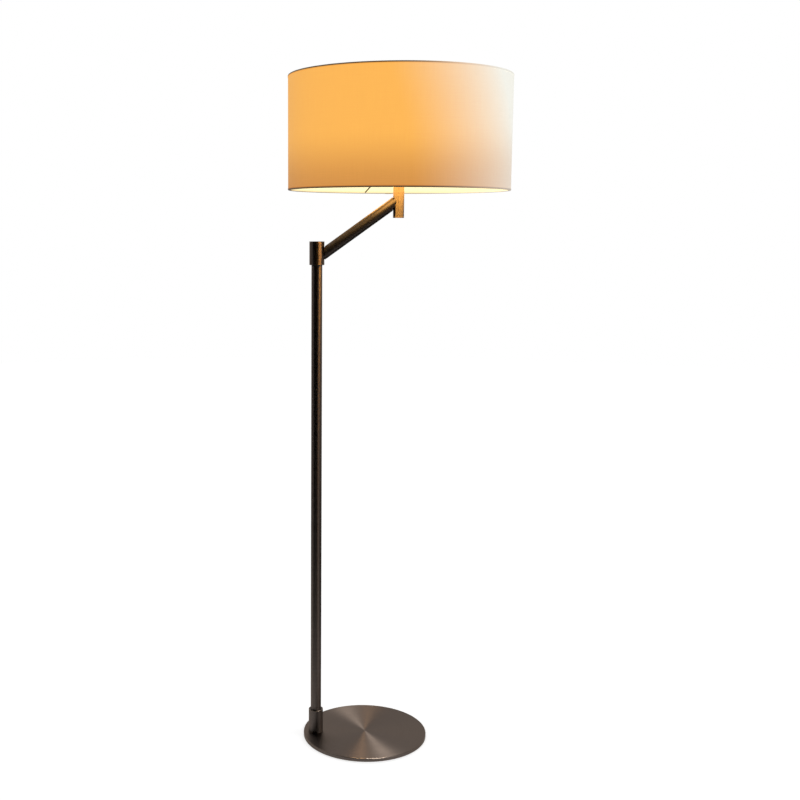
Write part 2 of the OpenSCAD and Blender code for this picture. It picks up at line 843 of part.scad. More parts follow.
base_pad();
base_plate();
cable_grommet();
base_washer();
base_nut();
base_nipple();
pole_foot_plug();
pole_tube();
foot_collar();
collar_bush();
collar_grub_screw();
pole_top_plug();
swivel_spindle();
stop_pin();
swivel_ring();
spring_washer();
spindle_nut();
hub_body();
hub_cap();
arm_hub_nipple();
arm_hub_plug();
arm_tube();
arm_stem_plug();
arm_stem_nipple();
saddle_washer();
saddle_nut();
stem_tube();
stem_end_cap();
stem_top_plug();
holder_nipple();
holder_nut();
holder_cap();
holder_shell();
switch_block();
screw_shell();
centre_contact();
switch_shaft();
switch_knob();
bulb_base();
bulb_glass();
bulb_filament();
shade_carrier();
shade_clamp_ring();
shade_top_wire();
shade_liner();
shade_fabric();
shade_bottom_hem();
shade_top_hem();
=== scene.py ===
"""Bridge floor lamp: its finishes, drum shade and threads, the lights and the photograph's view.

Metres, +Z up. The arm points to +X from the pole, and +Y is the lamp's back.
"""

import logging
import math
from abc import ABC, abstractmethod
from collections.abc import Callable, Sequence
from dataclasses import dataclass, field
from enum import Enum
from typing import Any, Union

import bpy
import numpy as np
from mathutils import Matrix, Vector


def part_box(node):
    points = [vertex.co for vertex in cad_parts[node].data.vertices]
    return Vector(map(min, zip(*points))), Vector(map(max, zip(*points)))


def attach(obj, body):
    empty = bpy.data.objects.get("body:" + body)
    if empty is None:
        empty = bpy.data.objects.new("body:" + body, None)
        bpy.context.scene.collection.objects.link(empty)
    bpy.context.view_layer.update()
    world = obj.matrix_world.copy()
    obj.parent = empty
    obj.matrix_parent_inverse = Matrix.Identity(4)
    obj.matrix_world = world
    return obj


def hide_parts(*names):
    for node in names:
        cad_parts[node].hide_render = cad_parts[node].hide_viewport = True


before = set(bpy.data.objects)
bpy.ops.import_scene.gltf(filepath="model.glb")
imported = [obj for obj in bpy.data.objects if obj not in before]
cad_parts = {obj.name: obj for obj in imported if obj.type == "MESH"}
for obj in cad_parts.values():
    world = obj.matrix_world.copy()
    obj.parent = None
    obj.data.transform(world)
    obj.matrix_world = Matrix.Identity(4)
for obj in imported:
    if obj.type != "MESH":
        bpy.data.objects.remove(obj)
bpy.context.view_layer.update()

LOG = logging.getLogger("lamp")

Pair = tuple[float, float]
Triple = tuple[float, float, float]
Colour = tuple[float, float, float, float]
Profile = Sequence[Pair]
Shift = Callable[[float, float, float], Pair]
Socket = bpy.types.NodeSocket
Outputs = bpy.types.NodeOutputs
Tree = bpy.types.NodeTree
Material = bpy.types.Material
Mesh = bpy.types.Mesh
Thing = bpy.types.Object
Value = Union[Socket, float, str, Sequence[float], None]

MM = 0.001
QUARTER = math.pi / 2
ORIGIN: Triple = (0.0, 0.0, 0.0)
UPRIGHT: Triple = (0.0, 0.0, 1.0)
CLOTH_MAP = "cloth"
CLOUD: Pair = (0.3, 0.7)  # where a soft noise does most of its change
GRAIN: Pair = (0.2, 0.8)  # the same for a fine noise
TONE: Pair = (-0.4, 0.4)  # the same for the weave's tone


class Body(str, Enum):
    """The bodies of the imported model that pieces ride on."""

    STAND = "stand"
    HEAD = "head"
    KNOB = "knob"


class Slot(str, Enum):
    """Material slots of the record, whose names the plain finishes bear too."""

    FOAM = "foam_pad"
    PLASTIC = "black_plastic"
    RUBBER = "black_rubber"
    CERAMIC = "white_ceramic"
    BRASS = "brass"
    ZINC = "zinc_steel"
    LINER = "cream_liner"
    LINEN = "linen_fabric"
    HEM = "hem_fabric"


def rgb(red: int, green: int, blue: int) -> Colour:
    """Turns a colour as a screen shows it into Blender's linear values.

    Args:
        red: Red, 0 to 255.
        green: Green, 0 to 255.
        blue: Blue, 0 to 255.

    Returns:
        The linear colour with full alpha.
    """
    parts = [c / 255 for c in (red, green, blue)]
    linear = [c / 12.92 if c <= 0.04045 else ((c + 0.055) / 1.055) ** 2.4 for c in parts]
    return (linear[0], linear[1], linear[2], 1.0)


WHITE = rgb(255, 255, 255)
BLACK = rgb(0, 0, 0)
DUST_COLOUR = rgb(150, 146, 140)


# ---- Node trees ----


class Graph:
    """A node tree under construction, for materials, effects and geometry alike."""

    def __init__(self, tree: Tree) -> None:
        """Takes the tree that the nodes go into."""
        self.tree = tree

    def add(self, kind: str, inputs: dict[Any, Any] | None = None, **settings: Any) -> bpy.types.Node:
        """Adds a node.

        Args:
            kind: The node's type, such as ShaderNodeMath.
            inputs: A value or a socket for each input, by its name or number.
            settings: Attributes of the node, set before its inputs.

        Returns:
            The node.
        """
        node = self.tree.nodes.new(kind)
        for name, value in settings.items():
            setattr(node, name, value)
        for name, value in (inputs or {}).items():
            self.feed(node.inputs[name], value)
        return node

    def feed(self, socket: Socket, value: Value) -> None:
        """Links a socket into an input, or sets the input's value.

        Args:
            socket: The input.
            value: The socket or the value that goes in, or None to leave the input alone.
        """
        if isinstance(value, Socket):
            self.tree.links.new(value, socket)
        elif value is not None:
            socket.default_value = value

    def math(self, operation: str, *values: Value) -> Socket:
        """Adds a Math node on up to three values and gives its result."""
        return self.add("ShaderNodeMath", dict(enumerate(values)), operation=operation).outputs[0]

    def product(self, *values: Value) -> Socket:
        """Multiplies two numbers or more.

        Args:
            values: The numbers.

        Returns:
            Their product's socket.
        """
        result = values[0]
        for value in values[1:]:
            result = self.math("MULTIPLY", result, value)
        return result

    def rest(self, share: Value) -> Socket:
        """Gives what a share leaves of 1."""
        return self.math("SUBTRACT", 1.0, share)

    def vector(self, operation: str, *values: Value) -> Socket:
        """Adds a Vector Math node and gives its vector, or its number for a dot product or a length."""
        node = self.add("ShaderNodeVectorMath", dict(enumerate(values)), operation=operation)
        return node.outputs["Value" if operation in ("DOT_PRODUCT", "LENGTH") else "Vector"]

    def scaled(self, vector: Value, factor: Value) -> Socket:
        """Multiplies a vector or a colour by a number."""
        inputs = {0: vector, "Scale": factor}
        return self.add("ShaderNodeVectorMath", inputs, operation="SCALE").outputs[0]

    def split(self, vector: Value) -> list[Socket]:
        """Gives the X, Y and Z of a vector."""
        return list(self.add("ShaderNodeSeparateXYZ", {0: vector}).outputs)

    def join(self, x: Value, y: Value, z: Value) -> Socket:
        """Makes a vector of three numbers."""
        return self.add("ShaderNodeCombineXYZ", {0: x, 1: y, 2: z}).outputs[0]

    def ramp(
        self, value: Value, start: Value, end: Value, low: Value = 0.0, high: Value = 1.0
    ) -> Socket:
        """Eases a value from low at start to high at end.

        Args:
            value: The number to map.
            start: Where the result begins to leave low.
            end: Where the result reaches high.
            low: The result up to start.
            high: The result past end.

        Returns:
            The mapped number's socket.
        """
        spans = {"Value": value, "From Min": start, "From Max": end, "To Min": low, "To Max": high}
        return self.add("ShaderNodeMapRange", spans, interpolation_type="SMOOTHSTEP").outputs[0]

    def noise(self, vector: Value, scale: Value, detail: float = 2.0) -> Socket:
        """Adds a noise pattern and gives its value, from 0 to 1."""
        inputs = {"Vector": vector, "Scale": scale, "Detail": detail}
        return self.add("ShaderNodeTexNoise", inputs).outputs[0]

    def mix(self, share: Value, first: Value, second: Value) -> Socket:
        """Mixes two colours.

        Args:
            share: The share of the second colour.
            first: The first colour.
            second: The second colour.

        Returns:
            The mixed colour's socket.
        """
        node = self.add("ShaderNodeMix", {"Factor": share}, data_type="RGBA")
        self.feed(node.inputs[6], first)
        self.feed(node.inputs[7], second)
        return node.outputs[2]


class Effect(Graph):
    """A shader node group with named inputs and outputs, which many finishes share."""

    KINDS = {"vector": "NodeSocketVector", "number": "NodeSocketFloat"}

    def __init__(self, name: str, inputs: dict[str, float | None], outputs: Sequence[str]) -> None:
        """Makes the group.

        Args:
            name: The group's name.
            inputs: The default of each input: a number, or None for a vector.
            outputs: The names of the outputs, all of them numbers.
        """
        super().__init__(bpy.data.node_groups.new(name, "ShaderNodeTree"))
        for label, value in inputs.items():
            kind = self.KINDS["vector" if value is None else "number"]
            socket = self.tree.interface.new_socket(label, in_out="INPUT", socket_type=kind)
            if value is not None:
                socket.default_value = value
        for label in outputs:
            self.tree.interface.new_socket(label, in_out="OUTPUT", socket_type=self.KINDS["number"])
        self.inputs = self.tree.nodes.new("NodeGroupInput").outputs
        self.outputs = self.tree.nodes.new("NodeGroupOutput").inputs

    def from_axis(self) -> tuple[Socket, Socket]:
        """Measures the Position input against the Axis input.

        Returns:
            The distance along the axis, and the vector straight out from it.
        """
        along = self.vector("DOT_PRODUCT", self.inputs["Position"], self.inputs["Axis"])
        on_axis = self.scaled(self.inputs["Axis"], along)
        return along, self.vector("SUBTRACT", self.inputs["Position"], on_axis)

    def gap(self, value: Value, label: str) -> Socket:
        """Gives how far a value is from one of the inputs."""
        return self.math("ABSOLUTE", self.math("SUBTRACT", value, self.inputs[label]))


class Effects:
    """The effects that several finishes share, each built once."""

    SLUB_ACROSS = 700.0  # slubs to the metre across a thread
    SLUB_ALONG = 14.0  # and along it

    def __init__(self) -> None:
        """Builds every group."""
        self.turning = self._turning()
        self.edge_wear = self._edge_wear()
        self.dust = self._dust()
        self.weave = self._weave()
        self.mottle = self._mottle()
        self.side_wash = self._side_wash()

    @staticmethod
    def _turning() -> Tree:
        """Makes the fine lines that a lathe or a belt leaves round an axis.

        Returns:
            The group.
        """
        sizes = {"Position": None, "Axis": None, "Pitch": 0.5 * MM, "Wander": 3.0}
        e = Effect("turning_lines", sizes, ["Lines", "Bands"])
        along, outward = e.from_axis()
        line = e.math("DIVIDE", e.math("ADD", along, e.vector("LENGTH", outward)), e.inputs["Pitch"])
        x, y, z = e.split(e.scaled(outward, e.inputs["Wander"]))
        place_on_line = e.join(line, e.math("ADD", x, z), y)
        e.feed(e.outputs["Lines"], e.noise(place_on_line, scale=1.0, detail=3.0))
        e.feed(e.outputs["Bands"], e.noise(place_on_line, scale=0.05, detail=2.0))
        return e.tree

    @staticmethod
    def _edge_wear() -> Tree:
        """Makes the worn outer rims at both ends of a turned piece, broken up by noise.

        Returns:
            The group.
        """
        sizes = {"Position": None, "Axis": None, "Low": 0.0, "High": 1.0, "Radius": 0.01}
        e = Effect("edge_wear", sizes | {"Width": 0.8 * MM}, ["Mask"])
        along, outward = e.from_axis()
        from_end = e.math("MINIMUM", e.gap(along, "Low"), e.gap(along, "High"))
        corner = e.math("ADD", from_end, e.gap(e.vector("LENGTH", outward), "Radius"))
        near = e.ramp(corner, 0.0, e.math("MULTIPLY", e.inputs["Width"], 2.0), low=1.0, high=0.0)
        cloud = e.noise(e.inputs["Position"], scale=90.0, detail=4.0)
        patches = e.ramp(cloud, start=0.4, end=0.6, low=0.35)
        e.feed(e.outputs["Mask"], e.product(near, patches))
        return e.tree

    @staticmethod
    def _dust() -> Tree:
        """Makes a thin film of dust on what faces up.

        Returns:
            The group.
        """
        e = Effect("dust", {"Position": None, "Normal": None, "Amount": 0.1}, ["Mask"])
        facing = e.ramp(e.split(e.inputs["Normal"])[2], start=0.5, end=1.0)
        cloud = e.noise(e.inputs["Position"], scale=24.0, detail=5.0)
        specks = e.noise(e.inputs["Position"], scale=1400.0, detail=1.0)
        thin = e.ramp(cloud, start=0.35, end=0.75, low=0.3)
        thick = e.ramp(specks, start=0.66, end=0.72, high=0.7)
        film = e.product(facing, e.math("ADD", thin, thick))
        e.feed(e.outputs["Mask"], e.product(film, e.inputs["Amount"]))
        return e.tree

    @classmethod
    def _weave(cls) -> Tree:
        """Makes a plain weave on a flat cloth map in metres, with uneven threads.

        Returns:
            The group.
        """
        e = Effect("plain_weave", {"Cloth": None, "Thread": 0.7 * MM, "Slub": 0.35}, ["Height", "Tone"])
        u, v, _ = e.split(e.inputs["Cloth"])
        counts = [e.math("DIVIDE", run, e.inputs["Thread"]) for run in (u, v)]
        waves = [e.math("SINE", e.product(count, math.pi)) for count in counts]
        rounds = e.math("ADD", *[e.math("ABSOLUTE", wave) for wave in waves])
        height = e.math("ADD", e.product(*waves, 0.25), e.product(rounds, 0.25))
        warp = e.join(e.product(u, cls.SLUB_ACROSS), e.product(v, cls.SLUB_ALONG), 0.0)
        weft = e.join(e.product(u, cls.SLUB_ALONG), e.product(v, cls.SLUB_ACROSS), 4.0)
        slubs = e.math("ADD", e.noise(warp, scale=1.0), e.noise(weft, scale=1.0))
        uneven = e.product(e.math("SUBTRACT", slubs, 1.0), e.inputs["Slub"])
        e.feed(e.outputs["Height"], e.math("ADD", height, uneven))
        e.feed(e.outputs["Tone"], uneven)
        return e.tree

    @staticmethod
    def _mottle() -> Tree:
        """Makes cloudy unevenness and a fine moulded grain.

        Returns:
            The group.
        """
        e = Effect("mottle", {"Position": None, "Scale": 60.0}, ["Cloud", "Grain"])
        fine = e.product(e.inputs["Scale"], 40.0)
        e.feed(e.outputs["Cloud"], e.noise(e.inputs["Position"], e.inputs["Scale"], detail=4.0))
        e.feed(e.outputs["Grain"], e.noise(e.inputs["Position"], fine))
        return e.tree

    @staticmethod
    def _side_wash() -> Tree:
        """Measures a point on a drum for its painted light: its turn to +X or -X, its height, its
        inside and rims.

        Returns:
            The group.
        """
        sizes = {"Position": None, "Centre": 0.0, "Radius": 0.25, "Middle": 1.4, "Half": 0.12}
        e = Effect("side_wash", sizes, ["Wash", "Edge", "Rise", "Inside", "Wire"])
        least = 0.0001
        x, y, z = e.split(e.inputs["Position"])
        from_centre = e.math("SUBTRACT", x, e.inputs["Centre"])
        turn = e.math("DIVIDE", from_centre, e.inputs["Radius"])
        rise = e.math("DIVIDE", e.math("SUBTRACT", z, e.inputs["Middle"]), e.inputs["Half"])
        from_foot = e.math("POWER", e.math("ADD", rise, 1.0), 2.0)
        lean = e.math("MULTIPLY_ADD", from_foot, 0.055, e.math("SUBTRACT", turn, 0.03))
        side = e.math("POWER", e.math("MAXIMUM", lean, least), 1.5)
        away = e.math("MAXIMUM", e.product(turn, -1.0), least)
        out = e.vector("LENGTH", e.join(from_centre, y, 0.0))
        within = e.math("SUBTRACT", e.inputs["Radius"], out)
        from_middle = e.math("ABSOLUTE", rise)
        off_edge = e.ramp(from_middle, 0.992, 1.0, low=1.0, high=0.0)
        # Share of painted light from +X.
        e.feed(e.outputs["Wash"], e.math("MINIMUM", side, 1.0))
        # Painted shade towards the -X edge.
        e.feed(e.outputs["Edge"], e.math("POWER", away, 6.0))
        e.feed(e.outputs["Rise"], rise)
        # Where the hems' inner legs take painted lamp light.
        e.feed(e.outputs["Inside"], e.product(e.ramp(within, 3 * MM, 5 * MM), off_edge))
        # Bands at the rims for the wires' painted shadow on the glow.
        e.feed(e.outputs["Wire"], e.ramp(from_middle, 0.974, 0.986))
        return e.tree


# ---- Finishes ----


def bare_material(name: str) -> Material:
    """Makes a material whose node tree is empty.

    Args:
        name: The material's name.

    Returns:
        The material.
    """
    material = bpy.data.materials.new(name)
    material.use_nodes = True
    material.node_tree.nodes.clear()
    return material


class Surface(Graph):
    """A material under construction round one Principled shader."""

    def __init__(self, name: str, effects: Effects) -> None:
        """Makes the material, its shader and its coordinates.

        Args:
            name: The material's name.
            effects: The shared effects.
        """
        self.effects = effects
        self.material = bare_material(name)
        super().__init__(self.material.node_tree)
        self.shader = self.add("ShaderNodeBsdfPrincipled")
        self.add("ShaderNodeOutputMaterial", {"Surface": self.shader.outputs[0]})
        self.position = self.add("ShaderNodeTexCoord").outputs["Object"]
        self.normal = self.add("ShaderNodeNewGeometry").outputs["Normal"]

    def effect(self, tree: Tree, **inputs: Value) -> Outputs:
        """Places a shared effect with this material's own values and gives its outputs."""
        return self.add("ShaderNodeGroup", inputs, node_tree=tree).outputs

    def dust(self, amount: float) -> Socket:
        """Places the dust effect and gives its mask."""
        inputs = {"Position": self.position, "Normal": self.normal, "Amount": amount}
        return self.effect(self.effects.dust, **inputs)["Mask"]

    def set(self, **inputs: Value) -> None:
        """Sets the shader's inputs, named with underscores for spaces."""
        for label, value in inputs.items():
            self.feed(self.shader.inputs[label.replace("_", " ")], value)

    def bump(self, height: Value, depth: float, strength: float = 1.0) -> None:
        """Feeds the shader's normal with a relief of that depth in metres."""
        inputs = {"Height": height, "Distance": depth, "Strength": strength}
        self.set(Normal=self.add("ShaderNodeBump", inputs).outputs[0])


class Finish(ABC):
    """What every finish can do."""

    def build(self, name: str, effects: Effects) -> Material:
        """Makes the material.

        Args:
            name: The material's name.
            effects: The shared effects.

        Returns:
            The material.
        """
        surface = Surface(name, effects)
        self.paint(surface)
        return surface.material

    @abstractmethod
    def paint(self, s: Surface) -> None:
        """Gives the surface its colours, gloss and relief."""


@dataclass(frozen=True)
class BronzedSteel(Finish):
    """Dark bronzed steel under clear lacquer, with grain turned round an axis."""

    axis: Triple = UPRIGHT
    centre: Triple = ORIGIN
    low: float = 0.0
    high: float = 1.0
    radius: float = 0.01
    metal: Colour = rgb(91, 82, 77)
    streak: Colour = rgb(97, 89, 84)
    worn: Colour = rgb(140, 126, 112)
    dusty: Colour = rgb(116, 108, 102)
    glancing: Colour = rgb(202, 196, 190)
    roughness: float = 0.38
    smoother: float = 0.04
    rougher: float = 0.05
    stretch: float = 0.9
    pitch: float = 0.4 * MM
    relief: float = 0.0015 * MM
    wear: float = 0.6
    dust: float = 0.04
    dust_rough: float = 0.5

    def paint(self, s: Surface) -> None:
        """Paints the grain, the worn rims and the dust.

        Args:
            s: The surface.
        """
        place_on_part = s.vector("SUBTRACT", s.position, self.centre)
        around_axis = {"Position": place_on_part, "Axis": self.axis}
        lines = s.effect(s.effects.turning, Pitch=self.pitch, **around_axis)
        rims = {"Low": self.low, "High": self.high, "Radius": self.radius}
        wear = s.effect(s.effects.edge_wear, **around_axis, **rims)["Mask"]
        dust = s.dust(self.dust)
        tone = s.ramp(s.math("ADD", lines["Lines"], lines["Bands"]), start=0.7, end=1.3)
        rimmed = s.mix(s.product(wear, self.wear), s.mix(tone, self.metal, self.streak), self.worn)
        roughness = (self.roughness - self.smoother, self.roughness + self.rougher)
        rough = s.ramp(lines["Lines"], *GRAIN, *roughness)
        around = s.vector("NORMALIZE", s.vector("CROSS_PRODUCT", self.axis, place_on_part))
        spaces = {"convert_from": "OBJECT", "convert_to": "WORLD"}
        turned = s.add("ShaderNodeVectorTransform", {0: around}, **spaces)
        s.set(Base_Color=s.mix(dust, rimmed, self.dusty), Metallic=1.0, Specular_Tint=self.glancing)
        s.set(Roughness=s.math("ADD", rough, s.product(dust, self.dust_rough)))
        s.set(Anisotropic=self.stretch, Anisotropic_Rotation=0.25, Tangent=turned.outputs[0])
        s.bump(lines["Lines"], self.relief)


@dataclass(frozen=True)
class PlatedMetal(Finish):
    """Bright plated or drawn metal: zinc on the fasteners and wires, brass on the contacts."""

    light: Colour = rgb(196, 196, 192)
    dark: Colour = rgb(150, 150, 146)
    roughness: float = 0.34
    spread: float = 0.08
    cloud_scale: float = 120.0
    relief: float = 0.01 * MM
    dust: float = 0.06

    def paint(self, s: Surface) -> None:
        """Paints the cloudy plating and its dust.

        Args:
            s: The surface.
        """
        spots = s.effect(s.effects.mottle, Position=s.position, Scale=self.cloud_scale)
        plating = s.mix(s.ramp(spots["Cloud"], *CLOUD), self.dark, self.light)
        roughness = (self.roughness - self.spread, self.roughness + self.spread)
        s.set(Base_Color=s.mix(s.dust(self.dust), plating, self.dark), Metallic=1.0)
        s.set(Roughness=s.ramp(spots["Cloud"], *CLOUD, *roughness))
        s.bump(spots["Grain"], self.relief)


@dataclass(frozen=True)
class Moulded(Finish):
    """A moulded or pressed matt material: plastic, rubber, foam or ceramic."""

    light: Colour = rgb(38, 38, 38)
    dark: Colour = rgb(26, 26, 26)
    roughness: float = 0.45
    scale: float = 60.0
    relief: float = 0.02 * MM
    smoother: float = 0.05
    rougher: float = 0.1
    dust: float = 0.12

    def paint(self, s: Surface) -> None:
        """Paints the clouded body, its grain and its dust.

        Args:
            s: The surface.
        """
        spots = s.effect(s.effects.mottle, Position=s.position, Scale=self.scale)
        body = s.mix(s.ramp(spots["Cloud"], *CLOUD), self.dark, self.light)
        roughness = (self.roughness - self.smoother, self.roughness + self.rougher)
        s.set(Base_Color=s.mix(s.dust(self.dust), body, DUST_COLOUR))
        s.set(Roughness=s.ramp(spots["Grain"], *GRAIN, *roughness))
        s.bump(spots["Grain"], self.relief)


@dataclass(frozen=True)
class LitGlass(Finish):
    """Frosted lamp glass that glows brightest round the filament."""

    core: Triple = ORIGIN
    reach: float = 0.06
    hot: Colour = rgb(255, 236, 178)
    cool: Colour = rgb(252, 196, 116)
    frost_dark: Colour = rgb(196, 186, 164)
    frost_light: Colour = rgb(206, 196, 174)
    hot_share: float = 0.4
    strength: float = 0.8
    roughness: Pair = (0.22, 0.34)
    coat: float = 0.3
    coat_roughness: float = 0.1

    def paint(self, s: Surface) -> None:
        """Paints the frost and the glow.

        Args:
            s: The surface.
        """
        away = s.vector("LENGTH", s.vector("SUBTRACT", s.position, self.core))
        cloud = s.effect(s.effects.mottle, Position=s.position, Scale=300.0)["Cloud"]
        glow = s.mix(s.ramp(away, self.hot_share * self.reach, self.reach), self.hot, self.cool)
        s.set(Base_Color=s.mix(s.ramp(cloud, *CLOUD), self.frost_dark, self.frost_light))
        s.set(Roughness=s.ramp(cloud, *CLOUD, *self.roughness))
        s.set(Emission_Color=glow, Emission_Strength=self.strength)
        s.set(Coat_Weight=self.coat, Coat_Roughness=self.coat_roughness)


@dataclass(frozen=True)
class LampCloth(Finish):
    """Woven linen lit from within, orange from the lamp, and paler towards +X with painted light from
    that side.
    """

    centre: float = 0.0
    radius: float = 0.25
    low: float = 0.0
    high: float = 1.0
    glow_low: Colour = rgb(184, 111, 36)
    glow_high: Colour = rgb(230, 158, 60)
    # Painted light from +X: the glow's pale colours on that side.
    side_light_low: Colour = rgb(164, 157, 145)
    side_light_high: Colour = rgb(181, 186, 180)
    # Painted lamp light on the hems' inner legs; the drum's cloth has none.
    inside: Colour = BLACK
    cloth: Colour = rgb(176, 148, 90)
    # Painted light from +X: the cloth's paler colour on that side.
    side_lit: Colour = rgb(231, 222, 211)
    thread: float = 0.7 * MM
    relief: float = 0.08 * MM
    seam: float = 0.0
    girth: float = 9.0
    side_shade: float = 0.12
    seam_shade: float = 0.14
    slub_tones: Pair = (0.93, 1.07)
    sheen: float = 0.15

    def paint(self, s: Surface) -> None:
        """Paints the cloth and the light that comes through it.

        Args:
            s: The surface.
        """
        cloth = s.add("ShaderNodeUVMap", uv_map=CLOTH_MAP).outputs[0]
        weave = s.effect(s.effects.weave, Cloth=cloth, Thread=self.thread)
        drum = {"Centre": self.centre, "Radius": self.radius}
        drum |= {"Middle": (self.low + self.high) / 2, "Half": (self.high - self.low) / 2}
        wash = s.effect(s.effects.side_wash, Position=s.position, **drum)
        tone = s.ramp(weave["Tone"], *TONE, *self.slub_tones)
        lit = s.product(self.passed(s, wash), self.single(s, cloth), tone)
        outer = s.scaled(self.glow(s, wash), lit)
        # Painted light from +X: the base colour turns paler on that side.
        s.set(Base_Color=s.scaled(s.mix(wash["Wash"], self.cloth, self.side_lit), tone))
        s.set(Emission_Color=s.mix(wash["Inside"], outer, self.inside), Emission_Strength=1.0)
        s.set(Roughness=s.ramp(weave["Tone"], *TONE, low=0.85, high=0.95))
        s.set(Sheen_Weight=self.sheen, Sheen_Roughness=0.5)
        s.bump(weave["Height"], self.relief, strength=0.6)

    def glow(self, s: Surface, wash: Outputs) -> Socket:
        """Colours the light that comes through: the lamp's orange, turning to painted side light
        towards +X.

        Args:
            s: The surface.
            wash: The outputs of the side wash effect.

        Returns:
            The colour's socket.
        """
        warm = s.mix(s.ramp(wash["Rise"], start=-1.0, end=0.0), self.glow_low, self.glow_high)
        pale = s.mix(s.ramp(wash["Rise"], start=-0.7, end=0.2), self.side_light_low, self.side_light_high)
        return s.mix(wash["Wash"], warm, pale)

    def passed(self, s: Surface, wash: Outputs) -> Socket:
        """Finds how much of the glow is kept, dimmed by painted shade towards the -X edge and by the
        wires' painted shadow under the hems.

        Args:
            s: The surface.
            wash: The outputs of the side wash effect.

        Returns:
            The share's socket.
        """
        # Painted shade: the glow dims towards the -X edge.
        side = s.rest(s.product(wash["Edge"], self.side_shade))
        most = s.ramp(wash["Rise"], start=-1.0, end=1.0, low=0.5, high=0.85)
        past_wire = s.ramp(wash["Wash"], start=0.0, end=0.6, high=most)
        return s.product(side, s.math("MAXIMUM", s.rest(wash["Wire"]), past_wire))

    def single(self, s: Surface, cloth: Socket) -> Socket:
        """Dims the glow at the glued overlap, where the cloth lies double: painted shade on the light
        through it.

        Args:
            s: The surface.
            cloth: The cloth map.

        Returns:
            The share of light that is left.
        """
        run = s.split(cloth)[0]
        start = s.ramp(run, self.seam, self.seam + MM, low=1.0, high=0.0)
        end = s.ramp(run, self.girth, self.girth + MM)
        return s.rest(s.product(s.math("MAXIMUM", start, end), self.seam_shade))


@dataclass(frozen=True)
class LinerFilm(Finish):
    """The pale film behind the cloth, bright inside from the lamp."""

    glow: Colour = rgb(255, 243, 192)
    film: Colour = rgb(236, 226, 196)
    mirrored: Colour = (0.5, 0.28, 0.08, 1.0)
    glow_share: float = 0.75
    tones: Pair = (0.95, 1.0)
    roughness: Pair = (0.4, 0.55)
    relief: float = 0.01 * MM

    def paint(self, s: Surface) -> None:
        """Paints the film and its glow, which is dimmer in reflections.

        Args:
            s: The surface.
        """
        spots = s.effect(s.effects.mottle, Position=s.position, Scale=18.0)
        tone = s.ramp(spots["Cloud"], *CLOUD, *self.tones)
        in_gloss = s.add("ShaderNodeLightPath").outputs["Is Glossy Ray"]
        s.set(Base_Color=s.scaled(self.film[:3], tone))
        s.set(Emission_Color=s.scaled(s.mix(in_gloss, self.glow, self.mirrored), tone))
        s.set(Emission_Strength=self.glow_share)
        s.set(Roughness=s.ramp(spots["Grain"], *GRAIN, *self.roughness))
        s.material.cycles.emission_sampling = "NONE"
        s.bump(spots["Grain"], self.relief)


# ---- Meshes ----


@dataclass(frozen=True)
class Extent:
    """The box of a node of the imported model, at rest."""

    low: Vector
    high: Vector

    @classmethod
    def of(cls, node: str) -> "Extent":
        """Reads the box of a node."""
        return cls(*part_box(node))

    @property
    def middle(self) -> Vector:
        """The centre of the box."""
        return (self.low + self.high) / 2

    @property
    def radius(self) -> float:
        """Half the width along X, which is the radius of a round node."""
        return (self.high.x - self.low.x) / 2

    @property
    def height(self) -> float:
        """The size along Z."""
        return self.high.z - self.low.z


def dress(nodes: Sequence[str], material: Material) -> None:
    """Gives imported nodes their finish.

    Args:
        nodes: The names of the nodes.
        material: The finish.
    """
    for name in nodes:
        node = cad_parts[name]
        if not node.material_slots:
            node.data.materials.append(material)
        for slot in node.material_slots:
            slot.material = material
        LOG.info("dressed %s in %s", name, material.name)


def hold(name: str, data: bpy.types.ID) -> Thing:
    """Makes an object in the scene.

    Args:
        name: Its name.
        data: Its mesh, light or camera.

    Returns:
        The object.
    """
    holder = bpy.data.objects.new(name, data)
    bpy.context.scene.collection.objects.link(holder)
    return holder


def place(
    name: str, mesh: Mesh, body: Body, slot: Slot, stands_for: Sequence[str] = ()
) -> Thing:
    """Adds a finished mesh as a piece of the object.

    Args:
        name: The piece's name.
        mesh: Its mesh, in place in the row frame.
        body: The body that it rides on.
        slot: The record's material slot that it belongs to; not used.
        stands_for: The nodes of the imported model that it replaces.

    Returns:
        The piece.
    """
    mesh.name = name
    piece = hold(name, mesh)
    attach(piece, body.value)
    if stands_for:
        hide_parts(*stands_for)
    LOG.info("made %s: %d faces, on %s", name, len(mesh.polygons), body.value)
    return piece


def arc(x: float, z: float, radius: float, start: float, sweep: float, count: int) -> list[Pair]:
    """Draws an arc in the plane of a section.

    Args:
        x: X of its centre.
        z: Z of its centre.
        radius: Its radius.
        start: The angle of its first point, in radians from +X.
        sweep: The angle that it covers, below 0 for clockwise.
        count: The number of its points.

    Returns:
        The points.
    """
    turns = start + np.linspace(0.0, sweep, count)
    return [(x + radius * math.cos(turn), z + radius * math.sin(turn)) for turn in turns]


